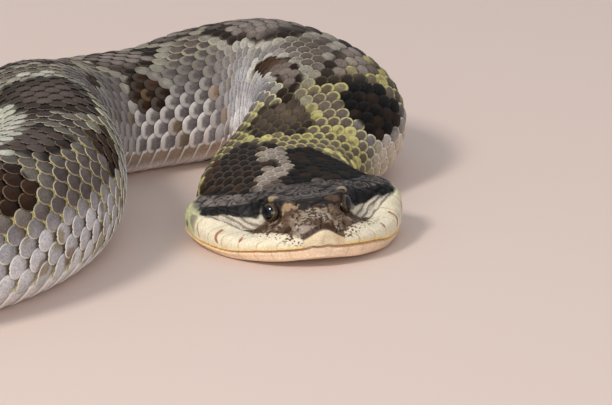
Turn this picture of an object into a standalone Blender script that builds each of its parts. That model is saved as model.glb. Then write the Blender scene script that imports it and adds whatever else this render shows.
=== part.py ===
"""A life-size Eastern hognose snake (Heterodon platirhinos), lying in its flat-headed defensive pose.

The body is one tube swept along a centreline of arcs. It lies on a flat belly and is parted into
lengths by thin cuts across it. The head is a loft of cross-sections, parted at the mouth.
All sizes below are in millimetres and degrees. Distances along the body run from the nape to the
tail tip, and distances along the head run from the snout to the nape.
"""
import math

import bmesh
import bpy
import numpy as np
from mathutils import Matrix, Vector

MM = 0.001
GAP = 0.3                       # space left between neighbouring solids

# Where the nape lies, and which way the body leaves it.
NAPE_AT = (-3.9, -12.5)
HEADING = 103.5                 # from +X, looking down on the snake

# The centreline: (length, turn), where a positive turn is to the left of one who walks to the tail.
STRETCHES = (
    (14, -37), (14, 0),         # the neck leaves the head and comes straight
    (36, 120), (8, 24),         # the tight bend behind the head
    (19, 6), (9, 22),           # the rear loop
    (22, 48), (8, 0),           # the second bend, back towards the front
    (54, -62), (98, -138),      # round the front of the coil
    (60, 0), (78, -180),        # up its far side and over the top
    (52, 0), (38, -176),        # down inside it, and round once more
    (40, 0), (18, -30),         # the tail, which lies in the middle
)
BEND_SOFTNESS = 5               # each change of bend is spread over this length either way
STATION = 1.0                   # spacing of the centreline's own points

# Where thin cuts part the tube into lengths.
NECK_CUTS = (0, 22, 44)
TRUNK_CUTS = (44, 66, 90, 118, 148, 182, 222, 264, 304, 342, 368, 394, 420, 462)
TAIL_CUTS = (462, 486, 508, 536, 568)
TAIL_TIP_ROUNDING = 2.5         # the last of the tail closes to a point over this length
TAIL_TIP_RINGS = (0.5, 0.85, 1.0)   # rings in that rounding, as shares of it
TAIL_TIP_CLOSING = 0.9          # how much of the tube's area the last ring has lost
RING_STEP = 5.6
RING_SIDES = 24

# The tube's cross-section.
WIDEST_AT = 0.42                # height of the widest place, as a share of the body's height
BACK_FULLNESS = 2.3             # superellipse power above the widest place
BELLY_FULLNESS = 2.5            # and below it
BELLY_FLATNESS = 1.15           # how far the belly is pressed past the floor before it is cut level

# The head.
HEAD_LENGTH = 27.0
HEAD_YAW = 13.5                 # the snout points this far to the right of straight ahead
HEAD_LEAN = 0.0085              # the left side is thicker, by this share of a height for each mm out
HEAD_HALF_SAMPLES = 15          # points on half a cross-section
HEAD_RINGS = (0, 0.011, 0.033, 0.066, 0.11, 0.17, 0.235, 0.3, 0.37, 0.45, 0.55, 0.66, 0.77, 0.87,
              0.94, 1)          # where the cross-sections stand, as shares of the length
CROWN_SHOULDER = (0.55, 0.2)    # a point between the crown and the brow, out and down
FULLEST_OUT = 0.97              # its half-width, as a share of the lip's
LIP_UP = 0.15                   # the lip's edge, from the mouth to the fullest part
JAW_SIDE = (0.965, 0.55)        # the jaw's side: its half-width, and from the chin to the mouth
JAW_UNDER = 0.80                # half-width of the flat under the jaw
BROW_LIMIT = 0.8                # the brow is never wider than this share of the lip
MOUTH_CORNER = 21.0             # how far back the mouth is cut
NAPE_BLEND_FROM = 20.5          # from here back the head turns into the neck
MOUTH_CUTTER_SIDE = 30.0        # the mouth's cutter reaches this far out
MOUTH_CUTTER_DEPTH = 3.0        # and this far under the floor
MOUTH_CUTTER_START = -1.5       # and begins ahead of the snout
MOUTH_CUTTER_RINGS = 14
EYE_RADIUS = 1.9
EYE_FACETS = (16, 10)
EYE_BACK = 9.5                  # behind the snout
EYE_OUT = 5.6                   # from the middle of the head
EYE_UP = 7.5
SMOOTH_ANGLE = 40               # edges sharper than this stay sharp

COLOURS = {
    "head": (0.20, 0.15, 0.11),
    "jaw": (0.72, 0.58, 0.40),
    "eye": (0.02, 0.02, 0.03),
    "hood": (0.10, 0.08, 0.07),
    "back": (0.24, 0.21, 0.18),
    "blotch": (0.13, 0.10, 0.08),
}


def through(*points):
    """A smooth curve through (place, value) points that never overshoots them."""
    xs = np.array([p[0] for p in points], float)
    ys = np.array([p[1] for p in points], float)
    slope = np.diff(ys) / np.diff(xs)
    tangent = np.zeros(len(xs))
    same_way = slope[:-1] * slope[1:] > 0
    total = np.where(same_way, slope[:-1] + slope[1:], 1.0)
    tangent[1:-1] = np.where(same_way, 2 * slope[:-1] * slope[1:] / total, 0)
    tangent[0], tangent[-1] = slope[0], slope[-1]

    def value(x):
        x = np.clip(np.asarray(x, float), xs[0], xs[-1])
        i = np.clip(np.searchsorted(xs, x, side="right") - 1, 0, len(xs) - 2)
        h = xs[i + 1] - xs[i]
        t = (x - xs[i]) / h
        return ((2 * t**3 - 3 * t**2 + 1) * ys[i] + (t**3 - 2 * t**2 + t) * h * tangent[i]
                + (3 * t**2 - 2 * t**3) * ys[i + 1] + (t**3 - t**2) * h * tangent[i + 1])
    return value


# Along the body: half its width, its height, and how far it rolls to its left.
half_width = through((0, 15.4), (7, 13.6), (17, 13.0), (36, 14.5), (60, 14.5), (85, 13.8),
                     (110, 13.2), (150, 12.8), (260, 13.6), (340, 12.8), (416, 10.8), (462, 8.2), (508, 5.6),
                     (542, 3.3), (568, 1.1))
height = through((0, 11.5), (12, 12.5), (30, 17.8), (45, 21.6), (58, 23.8), (70, 22.6), (82, 20.4),
                 (95, 20.6), (112, 23.0), (130, 23.4), (150, 22.8), (260, 23), (340, 21.5), (416, 18),
                 (462, 13.5), (508, 9.4), (542, 5.6), (568, 2.0))
roll = through((0, 0), (12, 3), (30, 13), (55, 8), (75, 0), (90, 0), (118, 9), (155, 0),
               (568, 0))

# Along the head: half-widths at the brow and at the lip, and heights of its main lines.
brow_half = through((0, 0.3), (1.5, 2.1), (4, 4.0), (8.5, 5.7), (15, 8.8), (27, 12.5))
lip_half = through((0, 0.5), (0.5, 3.9), (2.4, 8.6), (6.6, 13.2), (11.5, 16.3), (17, 18.1),
                   (21, 18.5), (25, 17.4), (27, 16.4))
crown_up = through((0, 4.8), (0.5, 6.0), (1.7, 7.4), (4, 8.0), (8.5, 9.6), (15, 10.5), (27, 11.5))
brow_drop = through((0, 0.5), (4, 0.8), (8.5, 0.3), (11, 0.4), (15, 1.4), (27, 2.2))
cheek_out = through((0, 0.42), (4, 0.4), (9, 0.26), (14, 0.4), (27, 0.42))
# The fullest part of the lip, from the mouth to the brow.
fullest_up = through((0, 0.35), (11, 0.35), (17, 0.6), (22, 0.57), (27, 0.4))
cheek_fullness = through((0, 0.62), (4, 0.45), (9, 0.2), (14, 0.6), (18, 0.8), (22, 0.75),
                         (27, 0.62))
mouth_up = through((0, 3.3), (3, 2.7), (8, 1.8), (13, 1.9), (20, 2.5), (27, 2.6))
chin_up = through((0, 1.9), (1.5, 1.2), (5, 0.5), (9, 0), (27, 0))


def centreline():
    """Distances along the body, the points there, and the headings in radians."""
    total = sum(length for length, _ in STRETCHES)
    middles = (np.arange(int(total / STATION)) + 0.5) * STATION
    bend = np.zeros(len(middles))
    start = 0.0
    for length, turn in STRETCHES:
        bend[(middles >= start) & (middles < start + length)] = math.radians(turn) / length
        start += length
    spread = np.hanning(int(2 * BEND_SOFTNESS / STATION) + 1)
    spread /= spread.sum()
    padded = np.pad(bend, len(spread) // 2, mode="edge")
    bend = np.convolve(padded, spread, mode="valid")
    heading = math.radians(HEADING) + np.concatenate([[0], np.cumsum(bend) * STATION])
    between = (heading[:-1] + heading[1:]) / 2
    steps = np.stack([np.cos(between), np.sin(between)], 1) * STATION
    points = np.concatenate([[[0, 0]], np.cumsum(steps, 0)]) + np.array(NAPE_AT)
    return np.arange(len(points)) * STATION, points, heading


ALONG, POINTS, HEADINGS = centreline()


def section(half, high, sides=RING_SIDES):
    """Points round a cross-section: out to the left, and up from the floor it lies on."""
    angle = np.arange(sides) * 2 * math.pi / sides
    up, out = np.cos(angle), np.sin(angle)
    waist = WIDEST_AT * high
    above = up >= 0
    power = np.where(above, 2 / BACK_FULLNESS, 2 / BELLY_FULLNESS)
    x = np.sign(out) * np.abs(out) ** power * half
    rise = np.abs(up) ** power
    z = np.where(above, waist + (high - waist) * rise, waist - BELLY_FLATNESS * waist * rise)
    return x, np.maximum(z, 0)


def body_ring(along, shrink=1.0):
    """The cross-section at one place on the body, set down on the floor."""
    x, z = section(float(half_width(along)) * shrink, float(height(along)) * shrink)
    tilt = math.radians(float(roll(along)))
    pivot = np.mean(z)
    x, z = (x * math.cos(tilt) + (z - pivot) * math.sin(tilt),
            (z - pivot) * math.cos(tilt) - x * math.sin(tilt))
    z -= z.min()
    centre = [np.interp(along, ALONG, POINTS[:, k]) for k in range(2)]
    heading = float(np.interp(along, ALONG, HEADINGS))
    left = (math.sin(heading), -math.cos(heading))
    return [Vector((centre[0] + left[0] * u, centre[1] + left[1] * u, v)) * MM for u, v in zip(x, z)]


def loft(rings):
    """A closed mesh over rings of points, each ring running the same way round."""
    mesh = bmesh.new()
    loops = [[mesh.verts.new(p) for p in ring] for ring in rings]
    count = len(loops[0])
    for near, far in zip(loops[:-1], loops[1:]):
        for i in range(count):
            j = (i + 1) % count
            mesh.faces.new((near[i], near[j], far[j], far[i]))
    mesh.faces.new(loops[0][::-1])
    mesh.faces.new(loops[-1])
    bmesh.ops.recalc_face_normals(mesh, faces=mesh.faces)
    return mesh


def body_length(start, end):
    """The tube between two cuts."""
    first = start + GAP / 2
    last = end - GAP / 2
    count = max(3, round((last - first) / RING_STEP) + 1)
    rings = [body_ring(s) for s in np.linspace(first, last, count)]
    return loft(rings)


def tail_end(start, end):
    """The last length, which closes to a blunt point."""
    first = start + GAP / 2
    shoulder = end - TAIL_TIP_ROUNDING
    count = round((shoulder - first) / RING_STEP) + 1
    rings = [body_ring(s) for s in np.linspace(first, shoulder, count)]
    for share in TAIL_TIP_RINGS:
        narrowed = math.sqrt(1 - TAIL_TIP_CLOSING * share * share)
        rings.append(body_ring(shoulder + TAIL_TIP_ROUNDING * share, narrowed))
    return loft(rings)


def curve_through(points, count):
    """Points spread evenly by length on a smooth curve through the given ones."""
    ctrl = np.array(points, float)
    ctrl = np.vstack([2 * ctrl[0] - ctrl[1], ctrl, 2 * ctrl[-1] - ctrl[-2]])
    fine = []
    for a, b, c, d in zip(ctrl[:-3], ctrl[1:-2], ctrl[2:-1], ctrl[3:]):
        for t in np.linspace(0, 1, 9)[:-1]:
            fine.append(0.5 * (2 * b + (c - a) * t + (2 * a - 5 * b + 4 * c - d) * t**2
                               + (3 * b - a - 3 * c + d) * t**3))
    fine = np.array(fine + [ctrl[-2]])
    run = np.concatenate([[0], np.cumsum(np.linalg.norm(np.diff(fine, axis=0), axis=1))])
    at = np.linspace(0, run[-1], count)
    return np.stack([np.interp(at, run, fine[:, k]) for k in range(2)], 1)


def head_half_section(back):
    """Half a cross-section of the head, from the crown over the lip to under the chin."""
    crown, drop = float(crown_up(back)), float(brow_drop(back))
    brow, lip = float(brow_half(back)), float(lip_half(back))
    mouth, chin = float(mouth_up(back)), float(chin_up(back))
    brow = min(brow, BROW_LIMIT * lip)
    edge = crown - drop
    fullest = mouth + float(fullest_up(back)) * (edge - mouth)
    outline = (
        (0, crown),
        (CROWN_SHOULDER[0] * brow, crown - CROWN_SHOULDER[1] * drop),
        (brow, edge),
        (brow + float(cheek_out(back)) * (lip - brow),
         fullest + float(cheek_fullness(back)) * (edge - fullest)),
        (FULLEST_OUT * lip, fullest),
        (lip, mouth + LIP_UP * (fullest - mouth)),
        (JAW_SIDE[0] * lip, chin + JAW_SIDE[1] * (mouth - chin)),
        (JAW_UNDER * lip, chin),
        (0, chin),
    )
    points = curve_through(outline, HEAD_HALF_SAMPLES)
    points[:, 1] = np.maximum(points[:, 1], chin)
    return points


def head_place(back, out, up):
    """A point of the head: behind the snout, out to the animal's left, and above the floor."""
    yaw = math.radians(HEAD_YAW)
    forward = HEAD_LENGTH - back
    x = NAPE_AT[0] + forward * math.sin(yaw) + out * math.cos(yaw)
    y = NAPE_AT[1] - forward * math.cos(yaw) + out * math.sin(yaw)
    return Vector((x, y, up * (1 + HEAD_LEAN * out))) * MM


def nape_blend(back):
    """How far the head's cross-section has turned into the body's."""
    t = max(0.0, (back - NAPE_BLEND_FROM) / (HEAD_LENGTH - NAPE_BLEND_FROM))
    return t * t * (3 - 2 * t)


def head_ring(back):
    half = head_half_section(back)
    share = nape_blend(back)
    if share > 0:
        x, z = section(float(half_width(0)), float(height(0)), 2 * (HEAD_HALF_SAMPLES - 1))
        body = np.stack([x, z], 1)[:HEAD_HALF_SAMPLES]
        half = half * (1 - share) + body * share
    right = [head_place(back, -x, z) for x, z in half[-2:0:-1]]
    return [head_place(back, x, z) for x, z in half] + right


def whole_head():
    return loft([head_ring(share * (HEAD_LENGTH - GAP / 2)) for share in HEAD_RINGS])


def mouth_block(lift, back_end):
    """All that lies under the mouth line as far back as its corner, moved up or down by lift."""
    side = MOUTH_CUTTER_SIDE
    rings = []
    for back in np.linspace(MOUTH_CUTTER_START, back_end, MOUTH_CUTTER_RINGS):
        top = float(mouth_up(back)) + lift
        bottom = -MOUTH_CUTTER_DEPTH
        corners = ((-side, bottom), (side, bottom), (side, top), (-side, top))
        rings.append([head_place(back, out, up) for out, up in corners])
    return loft(rings)


def ball(radius, centre):
    mesh = bmesh.new()
    around, down = EYE_FACETS
    bmesh.ops.create_uvsphere(mesh, u_segments=around, v_segments=down, radius=radius * MM)
    bmesh.ops.translate(mesh, verts=mesh.verts, vec=centre)
    return mesh


def material(name):
    found = bpy.data.materials.get(name)
    if found:
        return found
    made = bpy.data.materials.new(name)
    made.use_nodes = True
    shader = made.node_tree.nodes["Principled BSDF"]
    shader.inputs["Base Color"].default_value = (*COLOURS[name], 1)
    shader.inputs["Roughness"].default_value = 0.08 if name == "eye" else 0.55
    shader.inputs["Metallic"].default_value = 0.0
    made.diffuse_color = (*COLOURS[name], 1)
    return made


def make_object(name, mesh, finish=None):
    """An object of the mesh, with its own origin in the middle of its box."""
    data = bpy.data.meshes.new(name)
    low = Vector([min(v.co[k] for v in mesh.verts) for k in range(3)])
    high = Vector([max(v.co[k] for v in mesh.verts) for k in range(3)])
    middle = (low + high) / 2
    bmesh.ops.transform(mesh, matrix=Matrix.Translation(-middle), verts=mesh.verts)
    mesh.to_mesh(data)
    mesh.free()
    made = bpy.data.objects.new(name, data)
    made.location = middle
    bpy.context.scene.collection.objects.link(made)
    if finish:
        data.materials.append(material(finish))
        data.shade_smooth()
        data.set_sharp_from_angle(angle=math.radians(SMOOTH_ANGLE))
    else:
        made.hide_render = True
        made.display_type = "WIRE"
    return made


def cut(target, cutter, operation="DIFFERENCE"):
    modifier = target.modifiers.new(cutter.name, "BOOLEAN")
    modifier.operation = operation
    modifier.solver = "EXACT"
    modifier.object = cutter


def build_head():
    """The head and the lower jaw, parted at the mouth, and the two eyes in their sockets."""
    head = make_object("head", whole_head(), "head")
    jaw = make_object("lower_jaw", whole_head(), "jaw")
    above = make_object("cutter_mouth", mouth_block(GAP / 2, MOUTH_CORNER))
    below = make_object("cutter_jaw", mouth_block(-GAP / 2, MOUTH_CORNER - GAP))
    cut(head, above)
    cut(jaw, below, "INTERSECT")
    made = [head, jaw, above, below]
    for side, name in ((1, "left"), (-1, "right")):
        centre = head_place(EYE_BACK, side * EYE_OUT, EYE_UP)
        eye = make_object("eye_" + name, ball(EYE_RADIUS, centre), "eye")
        socket = make_object("cutter_socket_" + name, ball(EYE_RADIUS + GAP, centre))
        cut(head, socket)
        made += [eye, socket]
    return made


def build_lengths(name, cuts, finishes):
    """The lengths between cuts, numbered from the head."""
    made = []
    for number, (start, end) in enumerate(zip(cuts[:-1], cuts[1:]), 1):
        at_tip = end == TAIL_CUTS[-1]
        mesh = tail_end(start, end) if at_tip else body_length(start, end)
        made.append(make_object(f"{name}_{number}", mesh, finishes[number % len(finishes)]))
    return made


def stand_on_origin(objects):
    """Move everything so that the middle of the snake's box, at the floor, is the origin."""
    bpy.context.view_layer.update()
    solids = [o for o in objects if not o.hide_render]
    corners = [o.matrix_world @ v.co for o in solids for v in o.data.vertices]
    for k in (0, 1):
        middle = (min(c[k] for c in corners) + max(c[k] for c in corners)) / 2
        for o in objects:
            o.location[k] -= middle
    snake = bpy.data.objects.new("snake", None)
    bpy.context.scene.collection.objects.link(snake)
    for o in objects:
        o.parent = snake


def main():
    for old in list(bpy.data.objects):
        bpy.data.objects.remove(old, do_unlink=True)
    objects = build_head()
    objects += build_lengths("neck", NECK_CUTS, ("back", "hood"))
    objects += build_lengths("trunk", TRUNK_CUTS, ("back", "blotch"))
    objects += build_lengths("tail", TAIL_CUTS, ("back", "blotch"))
    stand_on_origin(objects)


main()
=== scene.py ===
"""The looks of a life-size Eastern hognose snake (Heterodon platirhinos), lying coiled on its belly in
its flat-headed defensive pose.

One skin replaces the nodes of flesh, and solid scales lie over it. Lengths are in millimetres.
A place on the snake is (s, q): s runs along the body from the nape to the tail tip, and is negative
on the head; q runs round it, 0 along the middle of the back, to 1 under the belly on the snake's left
and to -1 on its right.
"""
import itertools
import math

import bpy
import numpy as np
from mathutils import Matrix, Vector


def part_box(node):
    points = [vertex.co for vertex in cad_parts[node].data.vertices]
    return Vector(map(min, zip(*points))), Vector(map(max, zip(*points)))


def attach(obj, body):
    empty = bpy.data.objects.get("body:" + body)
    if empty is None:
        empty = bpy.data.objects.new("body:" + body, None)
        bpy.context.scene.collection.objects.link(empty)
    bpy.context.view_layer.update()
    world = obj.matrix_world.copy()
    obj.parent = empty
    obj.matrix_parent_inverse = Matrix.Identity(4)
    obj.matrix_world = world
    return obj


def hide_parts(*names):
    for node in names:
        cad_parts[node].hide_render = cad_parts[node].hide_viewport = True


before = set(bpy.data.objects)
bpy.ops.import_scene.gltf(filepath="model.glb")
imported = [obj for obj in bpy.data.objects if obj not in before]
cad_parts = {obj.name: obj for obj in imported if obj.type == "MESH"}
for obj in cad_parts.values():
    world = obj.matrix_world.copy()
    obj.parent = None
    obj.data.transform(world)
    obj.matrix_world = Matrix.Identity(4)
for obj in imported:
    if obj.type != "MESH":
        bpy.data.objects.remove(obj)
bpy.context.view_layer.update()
MM = 0.001

# ---- curves, colours and noise


def through(*points):
    """A smooth curve through (place, value) points that never overshoots them."""
    xs, ys = np.array(points, float).T
    slope = np.diff(ys) / np.diff(xs)
    tangent = np.zeros(len(xs))
    same_way = slope[:-1] * slope[1:] > 0
    total = np.where(same_way, slope[:-1] + slope[1:], 1.0)
    tangent[1:-1] = np.where(same_way, 2 * slope[:-1] * slope[1:] / total, 0)
    tangent[0], tangent[-1] = slope[0], slope[-1]

    def value(x):
        x = np.clip(np.asarray(x, float), xs[0], xs[-1])
        i = np.clip(np.searchsorted(xs, x, side="right") - 1, 0, len(xs) - 2)
        h = xs[i + 1] - xs[i]
        t = (x - xs[i]) / h
        return ((2 * t**3 - 3 * t**2 + 1) * ys[i] + (t**3 - 2 * t**2 + t) * h * tangent[i]
                + (3 * t**2 - 2 * t**3) * ys[i + 1] + (t**3 - t**2) * h * tangent[i + 1])
    return value


def evenly(points, count):
    """Points spread evenly by length along a polyline."""
    run = np.concatenate([[0], np.cumsum(np.linalg.norm(np.diff(points, axis=0), axis=1))])
    at = np.linspace(0, run[-1], count)
    return np.stack([np.interp(at, run, points[:, k]) for k in range(2)], 1)


def step(low_end, high_end, x):
    """0 before low_end, 1 after high_end, smooth between. The ends may be given in either order."""
    t = np.clip((np.asarray(x, float) - low_end) / (high_end - low_end), 0, 1)
    return t * t * (3 - 2 * t)


def span(x, start, full, fading, end):
    """1 from full to fading, 0 before start and after end, smooth between."""
    return step(start, full, x) * step(end, fading, x)


def bell(x, width):
    return np.exp(-(x / width) ** 2)


def rgb(red, green, blue):
    """A linear colour from the 0 to 255 values of a paint chart."""
    c = np.array([red, green, blue]) / 255
    return np.where(c <= 0.04045, c / 12.92, ((c + 0.055) / 1.055) ** 2.4)


def blend(under, over, share):
    return under + (over - under) * np.asarray(share)[..., None]


def paint(tint, *coats):
    """A colour with coats laid over it in turn, each a colour and how much of it shows."""
    for colour, share in coats:
        tint = blend(tint, colour, share)
    return tint


def hashed(ix, iy, iz, seed):
    """Numbers from 0 to 1 that look random, the same for the same whole numbers."""
    n = (ix * 73856093) ^ (iy * 19349663) ^ (iz * 83492791) ^ (seed * 2654435761)
    n = ((n ^ (n >> 13)) * 1274126177) & 0xFFFFFFFF
    return ((n ^ (n >> 16)) & 0xFFFFFF) / 0xFFFFFF


def noise(x, y, z=0.0, seed=1):
    """Smooth noise from 0 to 1, one wave to each unit."""
    place = np.broadcast_arrays(*(np.asarray(k, float) for k in (x, y, z)))
    cell = [np.floor(k).astype(np.int64) for k in place]
    part = [step(0, 1, k - c) for k, c in zip(place, cell)]
    total = 0.0
    for corner in itertools.product((0, 1), repeat=3):
        weight = math.prod(p if far else 1 - p for far, p in zip(corner, part))
        total = total + weight * hashed(*(c + far for far, c in zip(corner, cell)), seed)
    return total


# ---- the body's shape, as in the frame

NAPE_AT = (-3.9, -12.5)
HEADING = 103.5
STRETCHES = (
    (14, -37), (14, 0), (36, 120), (8, 24), (19, 6), (9, 22), (22, 48), (8, 0), (54, -62), (98, -138),
    (60, 0), (78, -180), (52, 0), (38, -176), (40, 0), (18, -30),
)
BEND_SOFTNESS = 5
BODY_LENGTH = 568.0
WIDEST_AT, BACK_FULLNESS, BELLY_FULLNESS, BELLY_FLATNESS = 0.42, 2.3, 2.5, 1.15
HEAD_LENGTH, HEAD_LEAN, NAPE_BLEND_FROM, LEAN_FADE = 27.0, 0.0085, 20.5, 7
CROWN_SHOULDER = (0.55, 0.2)
FULLEST_OUT, LIP_UP = 0.97, 0.15
JAW_SIDE, JAW_UNDER, BROW_LIMIT = (0.965, 0.55), 0.80, 0.8
EYE_BACK, EYE_OUT, EYE_UP, EYE_RADIUS = 9.5, 5.6, 7.5, 1.9
HALF_POINTS = 96                # points on half a cross-section
SPLINE_STEPS = 16               # and on each stretch of the head's outline
HEAD_SECTIONS = 160             # cross-sections from the snout to the nape
SNOUT_FRONT = 0.9               # the snout faces forwards over its first stretch

half_width = through(
    (0, 15.4), (7, 13.6), (17, 13.0), (36, 14.5), (60, 14.5), (85, 13.8),
    (110, 13.2), (150, 12.8), (260, 13.6), (340, 12.8), (416, 10.8), (462, 8.2),
    (508, 5.6), (542, 3.3), (568, 1.1))
height = through(
    (0, 11.5), (12, 12.5), (30, 17.8), (45, 21.6), (58, 23.8), (70, 22.6), (82, 20.4),
    (95, 20.6), (112, 23.0), (130, 23.4), (150, 22.8), (260, 23), (340, 21.5),
    (416, 18), (462, 13.5), (508, 9.4), (542, 5.6), (568, 2.0))
roll = through((0, 0), (12, 3), (30, 13), (55, 8), (75, 0), (90, 0), (118, 9), (155, 0), (568, 0))
brow_half = through((0, 0.3), (1.5, 2.1), (4, 4.0), (8.5, 5.7), (15, 8.8), (27, 12.5))
lip_half = through(
    (0, 0.5), (0.5, 3.9), (2.4, 8.6), (6.6, 13.2), (11.5, 16.3), (17, 18.1),
    (21, 18.5), (25, 17.4), (27, 16.4))
crown_up = through((0, 4.8), (0.5, 6.0), (1.7, 7.4), (4, 8.0), (8.5, 9.6), (15, 10.5), (27, 11.5))
brow_drop = through((0, 0.5), (4, 0.8), (8.5, 0.3), (11, 0.4), (15, 1.4), (27, 2.2))
cheek_out = through((0, 0.42), (4, 0.4), (9, 0.26), (14, 0.4), (27, 0.42))
cheek_fullness = through((0, 0.62), (4, 0.45), (9, 0.2), (14, 0.6), (18, 0.8), (22, 0.75), (27, 0.62))
fullest_up = through((0, 0.35), (11, 0.35), (17, 0.6), (22, 0.57), (27, 0.4))
mouth_up = through((0, 3.3), (3, 2.7), (8, 1.8), (13, 1.9), (20, 2.5), (27, 2.6))
chin_up = through((0, 1.9), (1.5, 1.2), (5, 0.5), (9, 0), (27, 0))


def centreline():
    """Distances along the body, the points there, and the headings in radians."""
    total = sum(length for length, _ in STRETCHES)
    middles = np.arange(total) + 0.5
    bend = np.zeros(total)
    start = 0.0
    for length, turn in STRETCHES:
        bend[(middles >= start) & (middles < start + length)] = math.radians(turn) / length
        start += length
    spread = np.hanning(2 * BEND_SOFTNESS + 1)
    spread /= spread.sum()
    bend = np.convolve(np.pad(bend, len(spread) // 2, mode="edge"), spread, mode="valid")
    heading = math.radians(HEADING) + np.concatenate([[0], np.cumsum(bend)])
    between = (heading[:-1] + heading[1:]) / 2
    steps = np.stack([np.cos(between), np.sin(between)], 1)
    points = np.concatenate([[[0, 0]], np.cumsum(steps, 0)]) + np.array(NAPE_AT)
    return np.arange(len(points)).astype(float), points, heading


def body_half_section(s):
    """Half a cross-section of the body, from the middle of the back to that of the belly."""
    half, high = float(half_width(s)), float(height(s))
    angle = np.linspace(0, math.pi, HALF_POINTS + 1)
    up, out = np.cos(angle), np.sin(angle)
    waist = WIDEST_AT * high
    above = up >= 0
    power = np.where(above, 2 / BACK_FULLNESS, 2 / BELLY_FULLNESS)
    rise = np.abs(up) ** power
    z = np.where(above, waist + (high - waist) * rise, waist - BELLY_FLATNESS * waist * rise)
    return np.stack([np.abs(out) ** power * half, np.maximum(z, 0)], 1)


def head_outline(back):
    """The points that shape half the head, from the crown over the lip to under the chin."""
    crown, drop = float(crown_up(back)), float(brow_drop(back))
    brow, lip = float(brow_half(back)), float(lip_half(back))
    mouth, chin = float(mouth_up(back)), float(chin_up(back))
    brow = min(brow, BROW_LIMIT * lip)
    edge = crown - drop
    fullest = mouth + float(fullest_up(back)) * (edge - mouth)
    return np.array((
        (0, crown),
        (CROWN_SHOULDER[0] * brow, crown - CROWN_SHOULDER[1] * drop),
        (brow, edge),
        (brow + float(cheek_out(back)) * (lip - brow),
         fullest + float(cheek_fullness(back)) * (edge - fullest)),
        (FULLEST_OUT * lip, fullest),
        (lip, mouth + LIP_UP * (fullest - mouth)),
        (JAW_SIDE[0] * lip, chin + JAW_SIDE[1] * (mouth - chin)),
        (JAW_UNDER * lip, chin),
        (0, chin),
    ), float)


def head_half_section(back):
    """Half a cross-section of the head, rounded through the points of its outline."""
    points = head_outline(back)
    points = np.vstack([2 * points[0] - points[1], points, 2 * points[-1] - points[-2]])
    fine = []
    for a, b, c, d in zip(points[:-3], points[1:-2], points[2:-1], points[3:]):
        for t in np.linspace(0, 1, SPLINE_STEPS + 1)[:-1]:
            fine.append(0.5 * (2 * b + (c - a) * t + (2 * a - 5 * b + 4 * c - d) * t**2
                               + (3 * b - a - 3 * c + d) * t**3))
    half = evenly(np.array(fine + [points[-2]]), HALF_POINTS + 1)
    half[:, 1] = np.maximum(half[:, 1], float(chin_up(back)))
    return half


def cross_section(s):
    """Points round the snake at s, out to its left and up, for q from -1 to 1."""
    half = body_half_section(s)
    if s < 0:
        share = step(NAPE_BLEND_FROM, HEAD_LENGTH, s + HEAD_LENGTH)
        half = head_half_section(s + HEAD_LENGTH) * (1 - share) + half * share
    half = evenly(half, HALF_POINTS + 1)
    full = np.vstack([half[:0:-1] * (-1, 1), half])
    if s < 0:
        full[:, 1] *= 1 + HEAD_LEAN * full[:, 0] * min(1.0, -s / LEAN_FADE)
        return full
    tilt = math.radians(float(roll(s)))
    x, z = full[:, 0], full[:, 1] - full[:, 1].mean()
    full = np.stack([x * math.cos(tilt) + z * math.sin(tilt), z * math.cos(tilt) - x * math.sin(tilt)], 1)
    full[:, 1] -= full[:, 1].min()
    return full


def unit(vectors):
    return vectors / np.maximum(np.linalg.norm(vectors, axis=-1, keepdims=True), 1e-9)


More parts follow.
